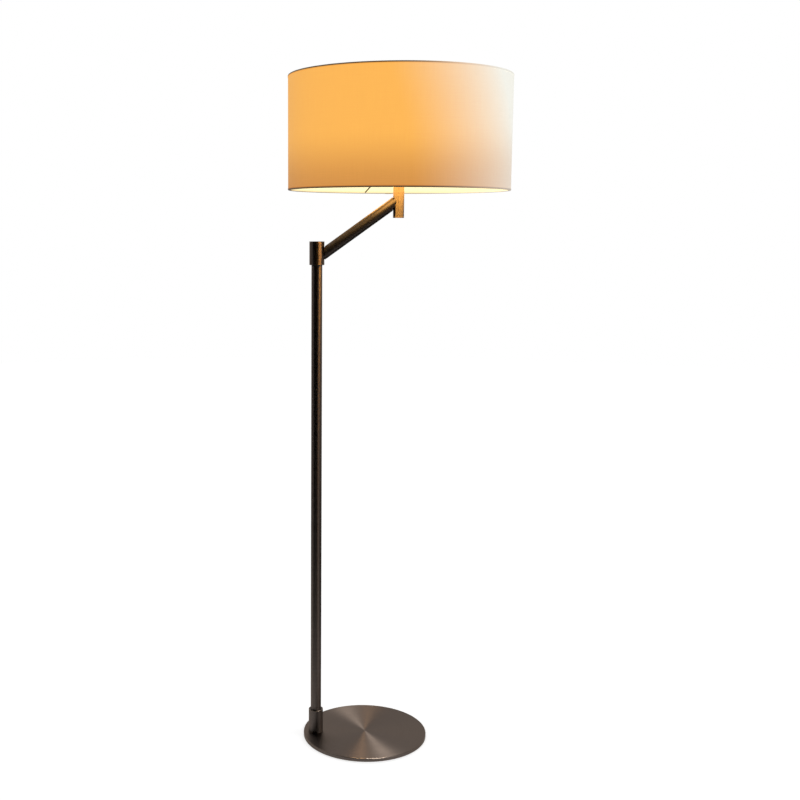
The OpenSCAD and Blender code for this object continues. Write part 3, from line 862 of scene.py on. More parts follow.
def swept(
    profile: Profile, centre: float, start: float, sweep: float, steps: int, shift: Shift | None = None
) -> Mesh:
    """Sweeps a closed outline round an upright axis, with capped ends where it doesn't close.

    Args:
        profile: The outline as radius and height, with the material to the left of its path.
        centre: X of the axis.
        start: The angle at which the sweep starts, in radians from +X.
        sweep: The angle swept; a full turn closes on itself.
        steps: The number of steps of the sweep.
        shift: Gives the radius and the height to add for a radius, a height and an angle swept.

    Returns:
        The mesh, with a cloth map in metres: along the sweep, and along the outline.
    """
    closed = abs(sweep - math.tau) < 1e-9
    rings = steps if closed else steps + 1
    count = len(profile)
    points, faces, maps = [], [], []
    run = [0.0]
    for (r0, z0), (r1, z1) in zip(profile, [*profile[1:], profile[0]]):
        run.append(run[-1] + math.hypot(r1 - r0, z1 - z0))
    for i in range(rings):
        turn = sweep * i / steps
        for r, z in profile:
            wider, higher = shift(r, z, turn) if shift else (0.0, 0.0)
            out = r + wider
            x = centre + out * math.cos(start + turn)
            points.append((x, out * math.sin(start + turn), z + higher))
    mean = sum(r for r, _ in profile) / count
    for i in range(steps):
        near = i * count
        far = ((i + 1) % rings) * count
        before = mean * sweep * i / steps
        after = mean * sweep * (i + 1) / steps
        for j in range(count):
            k = (j + 1) % count
            faces.append((near + j, far + j, far + k, near + k))
            maps += [(before, run[j]), (after, run[j]), (after, run[j + 1]), (before, run[j + 1])]
    if not closed:
        last = (rings - 1) * count
        faces.append(tuple(range(count)))
        faces.append(tuple(last + j for j in reversed(range(count))))
        maps += [*profile, *reversed(profile)]
    mesh = bpy.data.meshes.new("swept")
    mesh.from_pydata(points, [], faces)
    mesh.uv_layers.new(name=CLOTH_MAP).data.foreach_set("uv", np.array(maps, np.float32).ravel())
    mesh.shade_smooth()
    mesh.set_sharp_from_angle(angle=math.radians(40))
    return mesh


class GeometryTree(Graph):
    """A Geometry Nodes tree with named inputs, which ends in real geometry and its material."""

    KINDS = {float: "NodeSocketFloat", int: "NodeSocketInt"}

    def __init__(self, name: str, sizes: dict[str, float | int]) -> None:
        """Makes the tree.

        Args:
            name: The tree's name.
            sizes: Each input's name with its default.
        """
        super().__init__(bpy.data.node_groups.new(name, "GeometryNodeTree"))
        face = self.tree.interface
        face.new_socket("Geometry", in_out="OUTPUT", socket_type="NodeSocketGeometry")
        for label, value in sizes.items():
            socket = face.new_socket(label, in_out="INPUT", socket_type=self.KINDS[type(value)])
            socket.default_value = value
        face.new_socket("Material", in_out="INPUT", socket_type="NodeSocketMaterial")
        self.inputs = self.tree.nodes.new("NodeGroupInput").outputs

    def close(self, geometry: Socket, sharp: float) -> None:
        """Ends the tree.

        Args:
            geometry: What it makes.
            sharp: Edges that turn by more than this angle, in degrees, stay sharp.
        """
        real = self.add("GeometryNodeRealizeInstances", {"Geometry": geometry}).outputs[0]
        smooth = self.add("GeometryNodeSetShadeSmooth", {"Geometry": real}, domain="FACE").outputs[0]
        turn = self.add("GeometryNodeInputMeshEdgeAngle").outputs["Unsigned Angle"]
        sharper = self.math("GREATER_THAN", turn, math.radians(sharp))
        edges = {"Geometry": smooth, "Selection": sharper, "Shade Smooth": False}
        crisp = self.add("GeometryNodeSetShadeSmooth", edges, domain="EDGE").outputs[0]
        dressed = {"Geometry": crisp, "Material": self.inputs["Material"]}
        output = self.tree.nodes.new("NodeGroupOutput")
        self.feed(output.inputs[0], self.add("GeometryNodeSetMaterial", dressed).outputs[0])

    def make(self, material: Material, **sizes: float | int) -> Mesh:
        """Runs the tree once.

        Args:
            material: The finish of the result.
            sizes: Values for inputs.

        Returns:
            The result as a plain mesh.
        """
        holder = hold("holder", bpy.data.meshes.new("holder"))
        modifier = holder.modifiers.new("tree", "NODES")
        modifier.node_group = self.tree
        values = sizes | {"Material": material}
        for item in self.tree.interface.items_tree:
            if item.in_out == "INPUT" and item.name in values:
                modifier[item.identifier] = values[item.name]
        made = holder.evaluated_get(bpy.context.evaluated_depsgraph_get())
        mesh = bpy.data.meshes.new_from_object(made)
        holder.modifiers.clear()
        bpy.data.objects.remove(holder)
        return mesh


def sheet_tree() -> GeometryTree:
    """Bends a flat sheet to an upright drum, with a glued overlap at the back.

    Returns:
        The tree, which makes a closed mesh with the cloth map.
    """
    sizes = {"Centre": 0.0, "Radius": 0.25, "Bottom": 1.0, "Height": 0.25, "Thickness": 0.6 * MM}
    sizes |= {"Overlap": 12 * MM, "Lift": 0.6 * MM, "Columns": 480, "Rows": 16}
    t = GeometryTree("drum_sheet", sizes)
    i = t.inputs
    girth = t.product(i["Radius"], math.tau)
    length = t.math("ADD", girth, i["Overlap"])
    counts = {"Vertices X": t.math("ADD", i["Columns"], 1), "Vertices Y": t.math("ADD", i["Rows"], 1)}
    flat = t.add("GeometryNodeMeshGrid", {"Size X": length, "Size Y": i["Height"], **counts})
    x, y, _ = t.split(t.add("GeometryNodeInputPosition").outputs[0])
    run = t.math("ADD", x, t.product(length, 0.5))
    rise = t.math("ADD", y, t.product(i["Height"], 0.5))
    mapped = {"Geometry": flat.outputs["Mesh"], "Name": CLOTH_MAP, "Value": t.join(run, rise, 0.0)}
    named = t.add("GeometryNodeStoreNamedAttribute", mapped, data_type="FLOAT2", domain="CORNER")
    turn = t.math("ADD", t.math("DIVIDE", run, i["Radius"]), QUARTER)
    lift = t.product(t.ramp(run, t.math("SUBTRACT", girth, i["Overlap"]), girth), i["Lift"])
    out = t.math("ADD", i["Radius"], lift)
    bent_x = t.math("MULTIPLY_ADD", out, t.math("COSINE", turn), i["Centre"])
    bent_y = t.product(out, t.math("SINE", turn))
    bent = t.join(bent_x, bent_y, t.math("ADD", rise, i["Bottom"]))
    moved = {"Geometry": named.outputs[0], "Position": bent}
    inner = t.add("GeometryNodeSetPosition", moved).outputs[0]
    thick = {"Mesh": inner, "Offset Scale": i["Thickness"], "Individual": False}
    outer = t.add("GeometryNodeExtrudeMesh", thick, mode="FACES").outputs["Mesh"]
    joined = t.add("GeometryNodeJoinGeometry")
    t.feed(joined.inputs[0], outer)
    t.feed(joined.inputs[0], t.add("GeometryNodeFlipFaces", {"Mesh": inner}).outputs[0])
    whole = {"Geometry": joined.outputs[0], "Distance": 0.01 * MM}
    t.close(t.add("GeometryNodeMergeByDistance", whole).outputs[0], sharp=40)
    return t


def thread_tree() -> GeometryTree:
    """Winds a rounded screw thread up a cylinder.

    Returns:
        The tree.
    """
    sizes = {"Centre": 0.0, "Radius": 0.02, "Bottom": 1.0, "Pitch": 3 * MM, "Turns": 4.0}
    t = GeometryTree("screw_thread", sizes | {"Rib": 0.6 * MM, "Steps": 48})
    i = t.inputs
    rise = t.product(i["Pitch"], i["Turns"])
    coil = {"Resolution": i["Steps"], "Rotations": i["Turns"], "Height": rise}
    coil |= {"Start Radius": i["Radius"], "End Radius": i["Radius"]}
    line = t.add("GeometryNodeCurveSpiral", coil)
    circle = {"Resolution": 8, "Radius": i["Rib"]}
    rib = t.add("GeometryNodeCurvePrimitiveCircle", circle, mode="RADIUS")
    swept_rib = {"Curve": line.outputs[0], "Profile Curve": rib.outputs[0], "Fill Caps": True}
    solid = t.add("GeometryNodeCurveToMesh", swept_rib).outputs[0]
    moved = {"Geometry": solid, "Translation": t.join(i["Centre"], 0.0, i["Bottom"])}
    t.close(t.add("GeometryNodeTransform", moved).outputs[0], sharp=60)
    return t


def bead_tree() -> GeometryTree:
    """Spaces weld beads evenly round an upright axis.

    Returns:
        The tree.
    """
    sizes = {"Centre": 0.0, "Radius": 0.03, "Height": 1.0, "Turn": 0.0, "Count": 3, "Bead": 2 * MM}
    t = GeometryTree("weld_beads", sizes)
    i = t.inputs
    step = t.math("DIVIDE", math.tau, i["Count"])
    angle = t.math("MULTIPLY_ADD", t.add("GeometryNodeInputIndex").outputs[0], step, i["Turn"])
    x = t.math("MULTIPLY_ADD", t.math("COSINE", angle), i["Radius"], i["Centre"])
    y = t.product(t.math("SINE", angle), i["Radius"])
    points = t.add("GeometryNodePoints", {"Count": i["Count"], "Position": t.join(x, y, i["Height"])})
    ball = t.add("GeometryNodeMeshIcoSphere", {"Radius": i["Bead"], "Subdivisions": 3}).outputs[0]
    lump = t.add("ShaderNodeTexNoise", {"Scale": 500.0}).outputs["Color"]
    push = t.vector("MULTIPLY", t.vector("SUBTRACT", lump, (0.5, 0.5, 0.5)), (MM, MM, MM))
    rough = t.add("GeometryNodeSetPosition", {"Geometry": ball, "Offset": push}).outputs[0]
    spots = {"Points": points.outputs[0], "Instance": rough, "Rotation": t.join(0.0, 0.0, angle)}
    beads = t.add("GeometryNodeInstanceOnPoints", spots | {"Scale": (1.4, 0.9, 0.8)})
    t.close(beads.outputs[0], sharp=80)
    return t


# ---- Sub-assemblies ----


PLAIN: dict[Slot, Finish] = {
    Slot.ZINC: PlatedMetal(),
    Slot.BRASS: PlatedMetal(rgb(214, 178, 96), rgb(176, 138, 66), roughness=0.28),
    Slot.PLASTIC: Moulded(),
    Slot.RUBBER: Moulded(rgb(34, 34, 33), rgb(22, 22, 22), 0.75, scale=200.0, relief=0.04 * MM),
    Slot.FOAM: Moulded(rgb(52, 51, 50), rgb(36, 36, 35), 0.85, scale=400.0, relief=0.15 * MM),
    Slot.CERAMIC: Moulded(rgb(238, 236, 228), rgb(222, 218, 208), roughness=0.6, scale=120.0),
    Slot.LINER: LinerFilm(),
}


@dataclass
class Palette:
    """The finishes of the object, each built once."""

    effects: Effects
    built: dict[str, Material] = field(default_factory=dict)

    def get(self, name: str, finish: Finish) -> Material:
        """Gives the named finish.

        Args:
            name: The material's name.
            finish: What it is like, used the first time that it is asked for.

        Returns:
            The material.
        """
        if name not in self.built:
            self.built[name] = finish.build(name, self.effects)
        return self.built[name]

    def plain(self, slot: Slot) -> Material:
        """Gives the finish of a slot that is alike on every node."""
        return self.get(slot.value, PLAIN[slot])

    def bronze(self, name: str, node: str, **changes: Any) -> Material:
        """Bronzed steel turned round a node's own upright axis.

        Args:
            name: The material's name.
            node: The node whose axis and rims it follows.
            changes: Fields of BronzedSteel to set.

        Returns:
            The material.
        """
        box = Extent.of(node)
        centre = (box.middle.x, box.middle.y, 0.0)
        rims = {"low": box.low.z, "high": box.high.z, "centre": centre, "radius": box.radius}
        return self.get(name, BronzedSteel(**(rims | changes)))


@dataclass
class Base:
    """The round base: steel disc, soft pad, cable grommet and the fasteners under the pole."""

    palette: Palette
    pad_round: float = 0.5 * MM
    pad_eye: float = 0.2 * MM
    pad_steps: int = 180
    edge_points: int = 5
    disc_pitch: float = 0.5 * MM
    disc_roughness: float = 0.3
    disc_streak: Colour = rgb(93, 84, 79)

    def build(self) -> None:
        """Makes the pad and dresses the rest."""
        self.make_pad()
        grain = {"pitch": self.disc_pitch, "roughness": self.disc_roughness, "streak": self.disc_streak}
        dress(["base_plate"], self.palette.bronze("turned_disc", "base_plate", **grain))
        dress(["cable_grommet"], self.palette.plain(Slot.RUBBER))
        dress(["base_washer", "base_nut", "base_nipple"], self.palette.plain(Slot.ZINC))

    def make_pad(self) -> None:
        """Makes the closed-cell pad with its soft-cut edge."""
        box = Extent.of("base_pad")
        bend = self.pad_round
        edge = box.radius - bend
        under = arc(edge, box.low.z + bend, bend, -QUARTER, QUARTER, self.edge_points)
        over = arc(edge, box.high.z - bend, bend, 0.0, QUARTER, self.edge_points)
        profile = [(self.pad_eye, box.low.z), *under, *over, (self.pad_eye, box.high.z)]
        mesh = swept(profile, box.middle.x, 0.0, math.tau, self.pad_steps)
        mesh.materials.append(self.palette.plain(Slot.FOAM))
        place("felt_pad", mesh, Body.STAND, Slot.FOAM, ["base_pad"])


@dataclass
class Pole:
    """The pole, its collar at the foot and the plugs at both ends."""

    palette: Palette

    def build(self) -> None:
        """Dresses the pole's pieces."""
        dress(["pole_tube"], self.palette.bronze("turned_pole", "pole_tube"))
        dress(["foot_collar"], self.palette.bronze("turned_collar", "foot_collar"))
        dress(["collar_bush"], self.palette.plain(Slot.PLASTIC))
        dress(["collar_grub_screw", "pole_foot_plug", "pole_top_plug"], self.palette.plain(Slot.ZINC))


@dataclass
class Swivel:
    """The joint between pole and hub: spindle, stop pin, friction ring, spring washer and nut."""

    palette: Palette

    def build(self) -> None:
        """Dresses the swivel's pieces."""
        dress(["swivel_ring"], self.palette.plain(Slot.PLASTIC))
        inner = ["swivel_spindle", "stop_pin", "spring_washer", "spindle_nut"]
        dress(inner, self.palette.plain(Slot.ZINC))


@dataclass
class Arm:
    """The hub, the slanted arm and the stem that carries the lamp holder."""

    palette: Palette
    roughness: float = 0.46
    stretch: float = 0.2
    beyond: float = 9.0

    def build(self) -> None:
        """Dresses the arm's pieces."""
        dress(["hub_body", "hub_cap"], self.palette.bronze("turned_hub", "hub_body"))
        dress(["arm_tube", "arm_hub_plug", "arm_stem_plug"], self.slanted())
        dress(["stem_tube", "stem_end_cap"], self.palette.bronze("turned_stem", "stem_tube"))
        inner = ["arm_hub_nipple", "arm_stem_nipple", "saddle_washer", "saddle_nut", "stem_top_plug"]
        dress(inner, self.palette.plain(Slot.ZINC))

    def slanted(self) -> Material:
        """Makes the arm's finish, whose grain runs round the slanted tube and which has no worn rims.

        Returns:
            The material.
        """
        box = Extent.of("arm_tube")
        slope = self.slope(box.height, box.high.x - box.low.x, 2 * Extent.of("pole_tube").radius)
        axis = (math.cos(slope), 0.0, math.sin(slope))
        ends = {"centre": tuple(box.middle), "low": -self.beyond, "high": self.beyond}
        steel = BronzedSteel(axis=axis, roughness=self.roughness, stretch=self.stretch, **ends)
        return self.palette.get("brushed_arm", steel)

    @staticmethod
    def slope(rise: float, run: float, width: float) -> float:
        """Finds a tube's slope from its box, where both ends are cut upright.

        Args:
            rise: The height of the box.
            run: The length of the box.
            width: The tube's diameter.

        Returns:
            The slope in radians, settled in steps.
        """
        slope = math.atan2(rise, run)
        for _ in range(30):
            slope = math.atan2(rise - width / math.cos(slope), run)
        return slope


@dataclass(frozen=True)
class ScrewThread:
    """A rounded thread on a round piece of the head."""

    name: str
    slot: Slot
    pitch: float
    rib: float
    sink: float

    def wind(
        self, tree: GeometryTree, material: Material, core: Extent, start: float, end: float
    ) -> None:
        """Winds the thread.

        Args:
            tree: The thread's tree.
            material: Its finish.
            core: The round piece that it is on.
            start: The height of its first turn.
            end: The height of its last.
        """
        sizes = {"Centre": core.middle.x, "Radius": core.radius - self.sink, "Bottom": start}
        turns = {"Pitch": self.pitch, "Turns": (end - start) / self.pitch, "Rib": self.rib}
        place(self.name, tree.make(material, **sizes, **turns), Body.HEAD, self.slot)


@dataclass
class LampHolder:
    """The lamp holder with its switch knob and threaded skirt."""

    palette: Palette
    threads: GeometryTree
    thread: ScrewThread = ScrewThread("skirt_thread", Slot.PLASTIC, 2.5 * MM, 0.6 * MM, 0.2 * MM)

    def build(self) -> None:
        """Dresses the holder and cuts the skirt's thread above the clamp ring."""
        plastic = self.palette.plain(Slot.PLASTIC)
        dress(["holder_cap", "holder_shell", "shade_clamp_ring", "switch_knob"], plastic)
        dress(["holder_nipple", "holder_nut"], self.palette.plain(Slot.ZINC))
        dress(["screw_shell", "centre_contact", "switch_shaft"], self.palette.plain(Slot.BRASS))
        dress(["switch_block"], self.palette.plain(Slot.CERAMIC))
        start = Extent.of("shade_clamp_ring").high.z + self.thread.pitch / 2
        end = Extent.of("holder_shell").high.z - self.thread.rib
        self.thread.wind(self.threads, plastic, Extent.of("holder_cap"), start, end)


@dataclass
class Lamp:
    """The lamp: threaded base, frosted glass and its mount."""

    palette: Palette
    threads: GeometryTree
    thread: ScrewThread = ScrewThread("lamp_base_thread", Slot.BRASS, 3.6 * MM, 0.5 * MM, 0.15 * MM)
    plain_foot: float = 8 * MM
    plain_neck: float = 4 * MM

    def build(self) -> None:
        """Dresses the lamp and winds the thread of its base."""
        glass, base, mount = (Extent.of(n) for n in ("bulb_glass", "bulb_base", "bulb_filament"))
        core = (glass.middle.x, glass.middle.y, glass.high.z - glass.radius)
        dress(["bulb_glass"], self.palette.get("lit_glass", LitGlass(core, glass.high.z - base.high.z)))
        dress(["bulb_base"], self.palette.plain(Slot.BRASS))
        wire = LitGlass(tuple(mount.middle), mount.height, rgb(255, 226, 160), rgb(255, 190, 110))
        dress(["bulb_filament"], self.palette.get("filament", wire))
        start = base.low.z + self.plain_foot
        end = base.high.z - self.plain_neck
        self.thread.wind(self.threads, self.palette.plain(Slot.BRASS), base, start, end)


@dataclass(frozen=True)
class HemLap:
    """Where a hem's folded tape gives way to the cloth's overlap and to its own lapped end."""

    girth_radius: float
    leg_radius: float
    fold: float
    up: float
    bend: float
    lift: float
    seam_lift: float = 0.6 * MM
    run_up: float = 10 * MM
    seam_reach: float = 1.6

    def shift(self, radius: float, height: float, turn: float) -> Pair:
        """Lifts the outer leg over the cloth's overlap, and the tape's end round its start.

        Args:
            radius: The radius of a point of the tape.
            height: Its height.
            turn: The angle swept from the tape's start.

        Returns:
            What to add to the radius and to the height.
        """
        ease = self.run_up / self.girth_radius
        over_end = float(np.clip((turn - (math.tau - ease)) / ease, 0.0, 1.0)) * self.lift
        from_start = abs((turn + math.pi) % math.tau - math.pi)
        over_seam = float(np.clip(self.seam_reach - from_start / ease, 0.0, 1.0)) * self.seam_lift
        at_fold = abs(height - self.fold) < self.bend
        outward = over_end + over_seam if radius > self.leg_radius else -over_end
        return outward, -self.up * over_end * at_fold


@dataclass
class Shade:
    """The drum shade: wire carrier, liner film, woven cloth and the folded hems."""

    palette: Palette
    sheets: GeometryTree
    beads: GeometryTree
    spoke_count: int = 3
    spoke_turn: float = math.radians(106)
    bead: float = 2.2 * MM
    bead_out: float = 3.4 * MM
    bead_drop: float = 1.6 * MM
    cloth_thickness: float = 0.6 * MM
    liner_thickness: float = 0.5 * MM
    overlap: float = 12 * MM
    liner_overlap: float = 10 * MM
    cloth_lift: float = 1.05  # thicknesses by which an overlap stands off what it covers
    liner_lift: float = 1.1
    hem_lift: float = 1.2
    hem_thickness: float = 0.4 * MM
    hem_corner: float = 1.6 * MM
    hem_start: float = 6 * MM
    hem_thread: float = 0.45 * MM
    hem_steps: int = 360
    hem_points: int = 6

    def build(self) -> None:
        """Makes and dresses every piece of the shade."""
        dress(["shade_carrier", "shade_top_wire"], self.palette.plain(Slot.ZINC))
        self.make_beads()
        self.make_liner()
        hems = [self.make_hem("shade_bottom_hem", 1.0), self.make_hem("shade_top_hem", -1.0)]
        self.make_cloth()

    def make_beads(self) -> None:
        """Makes the welds between the spokes and the carrier's ring."""
        clamp = Extent.of("shade_clamp_ring")
        ring = {"Centre": Extent.of("shade_carrier").middle.x, "Radius": clamp.radius + self.bead_out}
        beads = {"Height": clamp.low.z - self.bead_drop, "Bead": self.bead, "Count": self.spoke_count}
        mesh = self.beads.make(self.palette.plain(Slot.ZINC), Turn=self.spoke_turn, **ring, **beads)
        place("carrier_welds", mesh, Body.HEAD, Slot.ZINC)

    def make_liner(self) -> None:
        """Makes the film behind the cloth, with its overlap inside at the back."""
        box = Extent.of("shade_liner")
        thickness = self.liner_thickness
        drum = {"Centre": box.middle.x, "Radius": box.radius - thickness, "Bottom": box.low.z}
        sheet = {"Height": box.height, "Thickness": thickness, "Overlap": self.liner_overlap}
        film = self.palette.plain(Slot.LINER)
        mesh = self.sheets.make(film, Lift=-self.liner_lift * thickness, **drum, **sheet)
        place("liner_film", mesh, Body.HEAD, Slot.LINER, ["shade_liner"])

    def make_cloth(self) -> None:
        box = Extent.of("shade_fabric")
        thickness = self.cloth_thickness
        radius = box.radius - thickness
        lap = {"seam": self.overlap, "girth": math.tau * radius}
        linen = LampCloth(box.middle.x, box.radius, box.low.z, box.high.z, **lap)
        drum = {"Centre": box.middle.x, "Radius": radius, "Bottom": box.low.z, "Height": box.height}
        sheet = {"Thickness": thickness, "Overlap": self.overlap, "Lift": self.cloth_lift * thickness}
        mesh = self.sheets.make(self.palette.get(Slot.LINEN.value, linen), **drum, **sheet)
        cloth = place("drum_cloth", mesh, Body.HEAD, Slot.LINEN, ["shade_fabric"])

    def make_hem(self, node: str, up: float) -> Thing:
        """Makes a hem that folds round the cloth's edge and the wire.

        Args:
            node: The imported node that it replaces.
            up: 1 where the legs stand up from the fold, -1 where they hang from it.

        Returns:
            The hem.
        """
        box, cloth, wire = (Extent.of(n) for n in (node, "shade_fabric", "shade_top_wire"))
        fold = box.low.z if up > 0 else box.high.z
        inner = wire.radius - wire.height - 2 * self.hem_thickness
        section = self.hem_section(inner, box.radius, box.height)
        outline = [(r, fold + up * z) for r, z in section]
        if up > 0:
            outline.reverse()
        legs = (inner + box.radius) / 2
        lap = HemLap(box.radius, legs, fold, up, self.hem_corner, self.hem_lift * self.hem_thickness)
        start = QUARTER + self.hem_start / box.radius
        sweep = math.tau + self.overlap / box.radius
        mesh = swept(outline, cloth.middle.x, start, sweep, self.hem_steps, lap.shift)
        mesh.materials.append(self.tape(cloth))
        return place(node + "_tape", mesh, Body.HEAD, Slot.HEM, [node])

    def tape(self, cloth: Extent) -> Material:
        """Makes the finish of the hems' tape.

        Args:
            cloth: The box of the shade's cloth, whose wash it shares.

        Returns:
            The material.
        """
        drum = (cloth.middle.x, cloth.radius, cloth.low.z, cloth.high.z)
        # The tape's darker cloth is painted shade of the wire under the fold; towards +X it takes the
        # drum's painted side light.
        colours = {"cloth": rgb(132, 102, 68), "side_lit": rgb(226, 216, 204)}
        # Painted lamp light: the inner leg inside the shade glows cream.
        colours["inside"] = rgb(250, 232, 180)
        return self.palette.get(Slot.HEM.value, LampCloth(*drum, thread=self.hem_thread, **colours))

    def hem_section(self, inner: float, outer: float, height: float) -> list[Pair]:
        """Draws the folded tape's section, with its fold on height 0.

        Args:
            inner: The radius of the leg inside the wire.
            outer: The radius of the leg outside the cloth.
            height: The height of the legs.

        Returns:
            The closed outline as radius and height.
        """
        thickness = self.hem_thickness
        bend = self.hem_corner
        count = self.hem_points
        tight = bend - thickness
        left = inner + bend
        right = outer - bend
        outside = arc(right, bend, bend, 0.0, -QUARTER, count)
        outside += arc(left, bend, bend, -QUARTER, -QUARTER, count)
        inside = arc(left, bend, tight, math.pi, QUARTER, count)
        inside += arc(right, bend, tight, -QUARTER, QUARTER, count)
        outer_leg = [(outer, height), *outside, (inner, height)]
        return outer_leg + [(inner + thickness, height), *inside, (outer - thickness, height)]


# ---- Studio ----


class Shape(str, Enum):
    """The shapes of a soft light's face."""

    RECTANGLE = "RECTANGLE"
    DISK = "DISK"


@dataclass(frozen=True)
class SoftLight:
    """A softbox or a glowing disc."""

    name: str
    place: Triple
    target: Triple
    size: Pair
    power: float
    colour: Triple = (1.0, 1.0, 1.0)
    shape: Shape = Shape.RECTANGLE
    body: Body | None = None
    receivers: Sequence[str] = ()

    def build(self) -> None:
        """Hangs the light, on its body and for its receivers alone where it has them."""
        lamp = bpy.data.lights.new(self.name, "AREA")
        lamp.shape = self.shape.value
        lamp.size, lamp.size_y = self.size
        lamp.energy = self.power
        lamp.color = self.colour
        holder = hold(self.name, lamp)
        aim = Vector(self.target) - Vector(self.place)
        turned = aim.to_track_quat("-Z", "Y").to_matrix().to_4x4()
        holder.matrix_world = Matrix.Translation(self.place) @ turned
        holder.visible_camera = False
        if self.body:
            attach(holder, self.body.value)
        if self.receivers:
            lit = bpy.data.collections.new(self.name + "_receivers")
            for node in self.receivers:
                lit.objects.link(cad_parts[node])
            holder.light_linking.receiver_collection = lit
        LOG.info("lit %s", self.name)


@dataclass(frozen=True)
class BulbLight:
    """The light of the lamp itself."""

    power: float = 0.3
    colour: Triple = (1.0, 0.5, 0.16)

    def build(self) -> None:
        """Puts the light in the bulb."""
        glass = Extent.of("bulb_glass")
        lamp = bpy.data.lights.new("bulb_light", "POINT")
        lamp.energy = self.power
        lamp.color = self.colour
        lamp.shadow_soft_size = glass.radius
        holder = hold("bulb_light", lamp)
        holder.location = (glass.middle.x, glass.middle.y, glass.high.z - glass.radius)
        holder.visible_camera = False
        bpy.context.view_layer.update()
        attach(holder, Body.HEAD.value)
        LOG.info("lit bulb_light")


@dataclass(frozen=True)
class PhotoCamera:
    """The photograph's viewpoint, solved together with the object's sizes."""

    place: Triple = (-0.1035, -2.6278, 1.2417)
    down: float = 0.1538
    roll: float = 0.0033
    focal_px: float = 1128.28
    principal_px: float = 323.74
    image_px: float = 800.0
    sensor: float = 36.0
    clip: Pair = (0.05, 50.0)

    def build(self) -> None:
        """Makes the camera and looks through it."""
        lens = bpy.data.cameras.new("camera")
        lens.sensor_width = self.sensor
        lens.lens = self.focal_px / self.image_px * self.sensor
        lens.shift_x = 0.5 - self.principal_px / self.image_px
        lens.clip_start, lens.clip_end = self.clip
        forward = Vector((0.0, math.cos(self.down), -math.sin(self.down)))
        right = Vector((1.0, 0.0, 0.0))
        up = Vector((0.0, math.sin(self.down), math.cos(self.down)))
        tilted_right = right * math.cos(self.roll) + up * math.sin(self.roll)
        tilted_up = up * math.cos(self.roll) - right * math.sin(self.roll)
        turned = Matrix((tilted_right, tilted_up, -forward)).transposed().to_4x4()
        camera = hold("camera", lens)
        camera.matrix_world = Matrix.Translation(self.place) @ turned
        bpy.context.scene.camera = camera


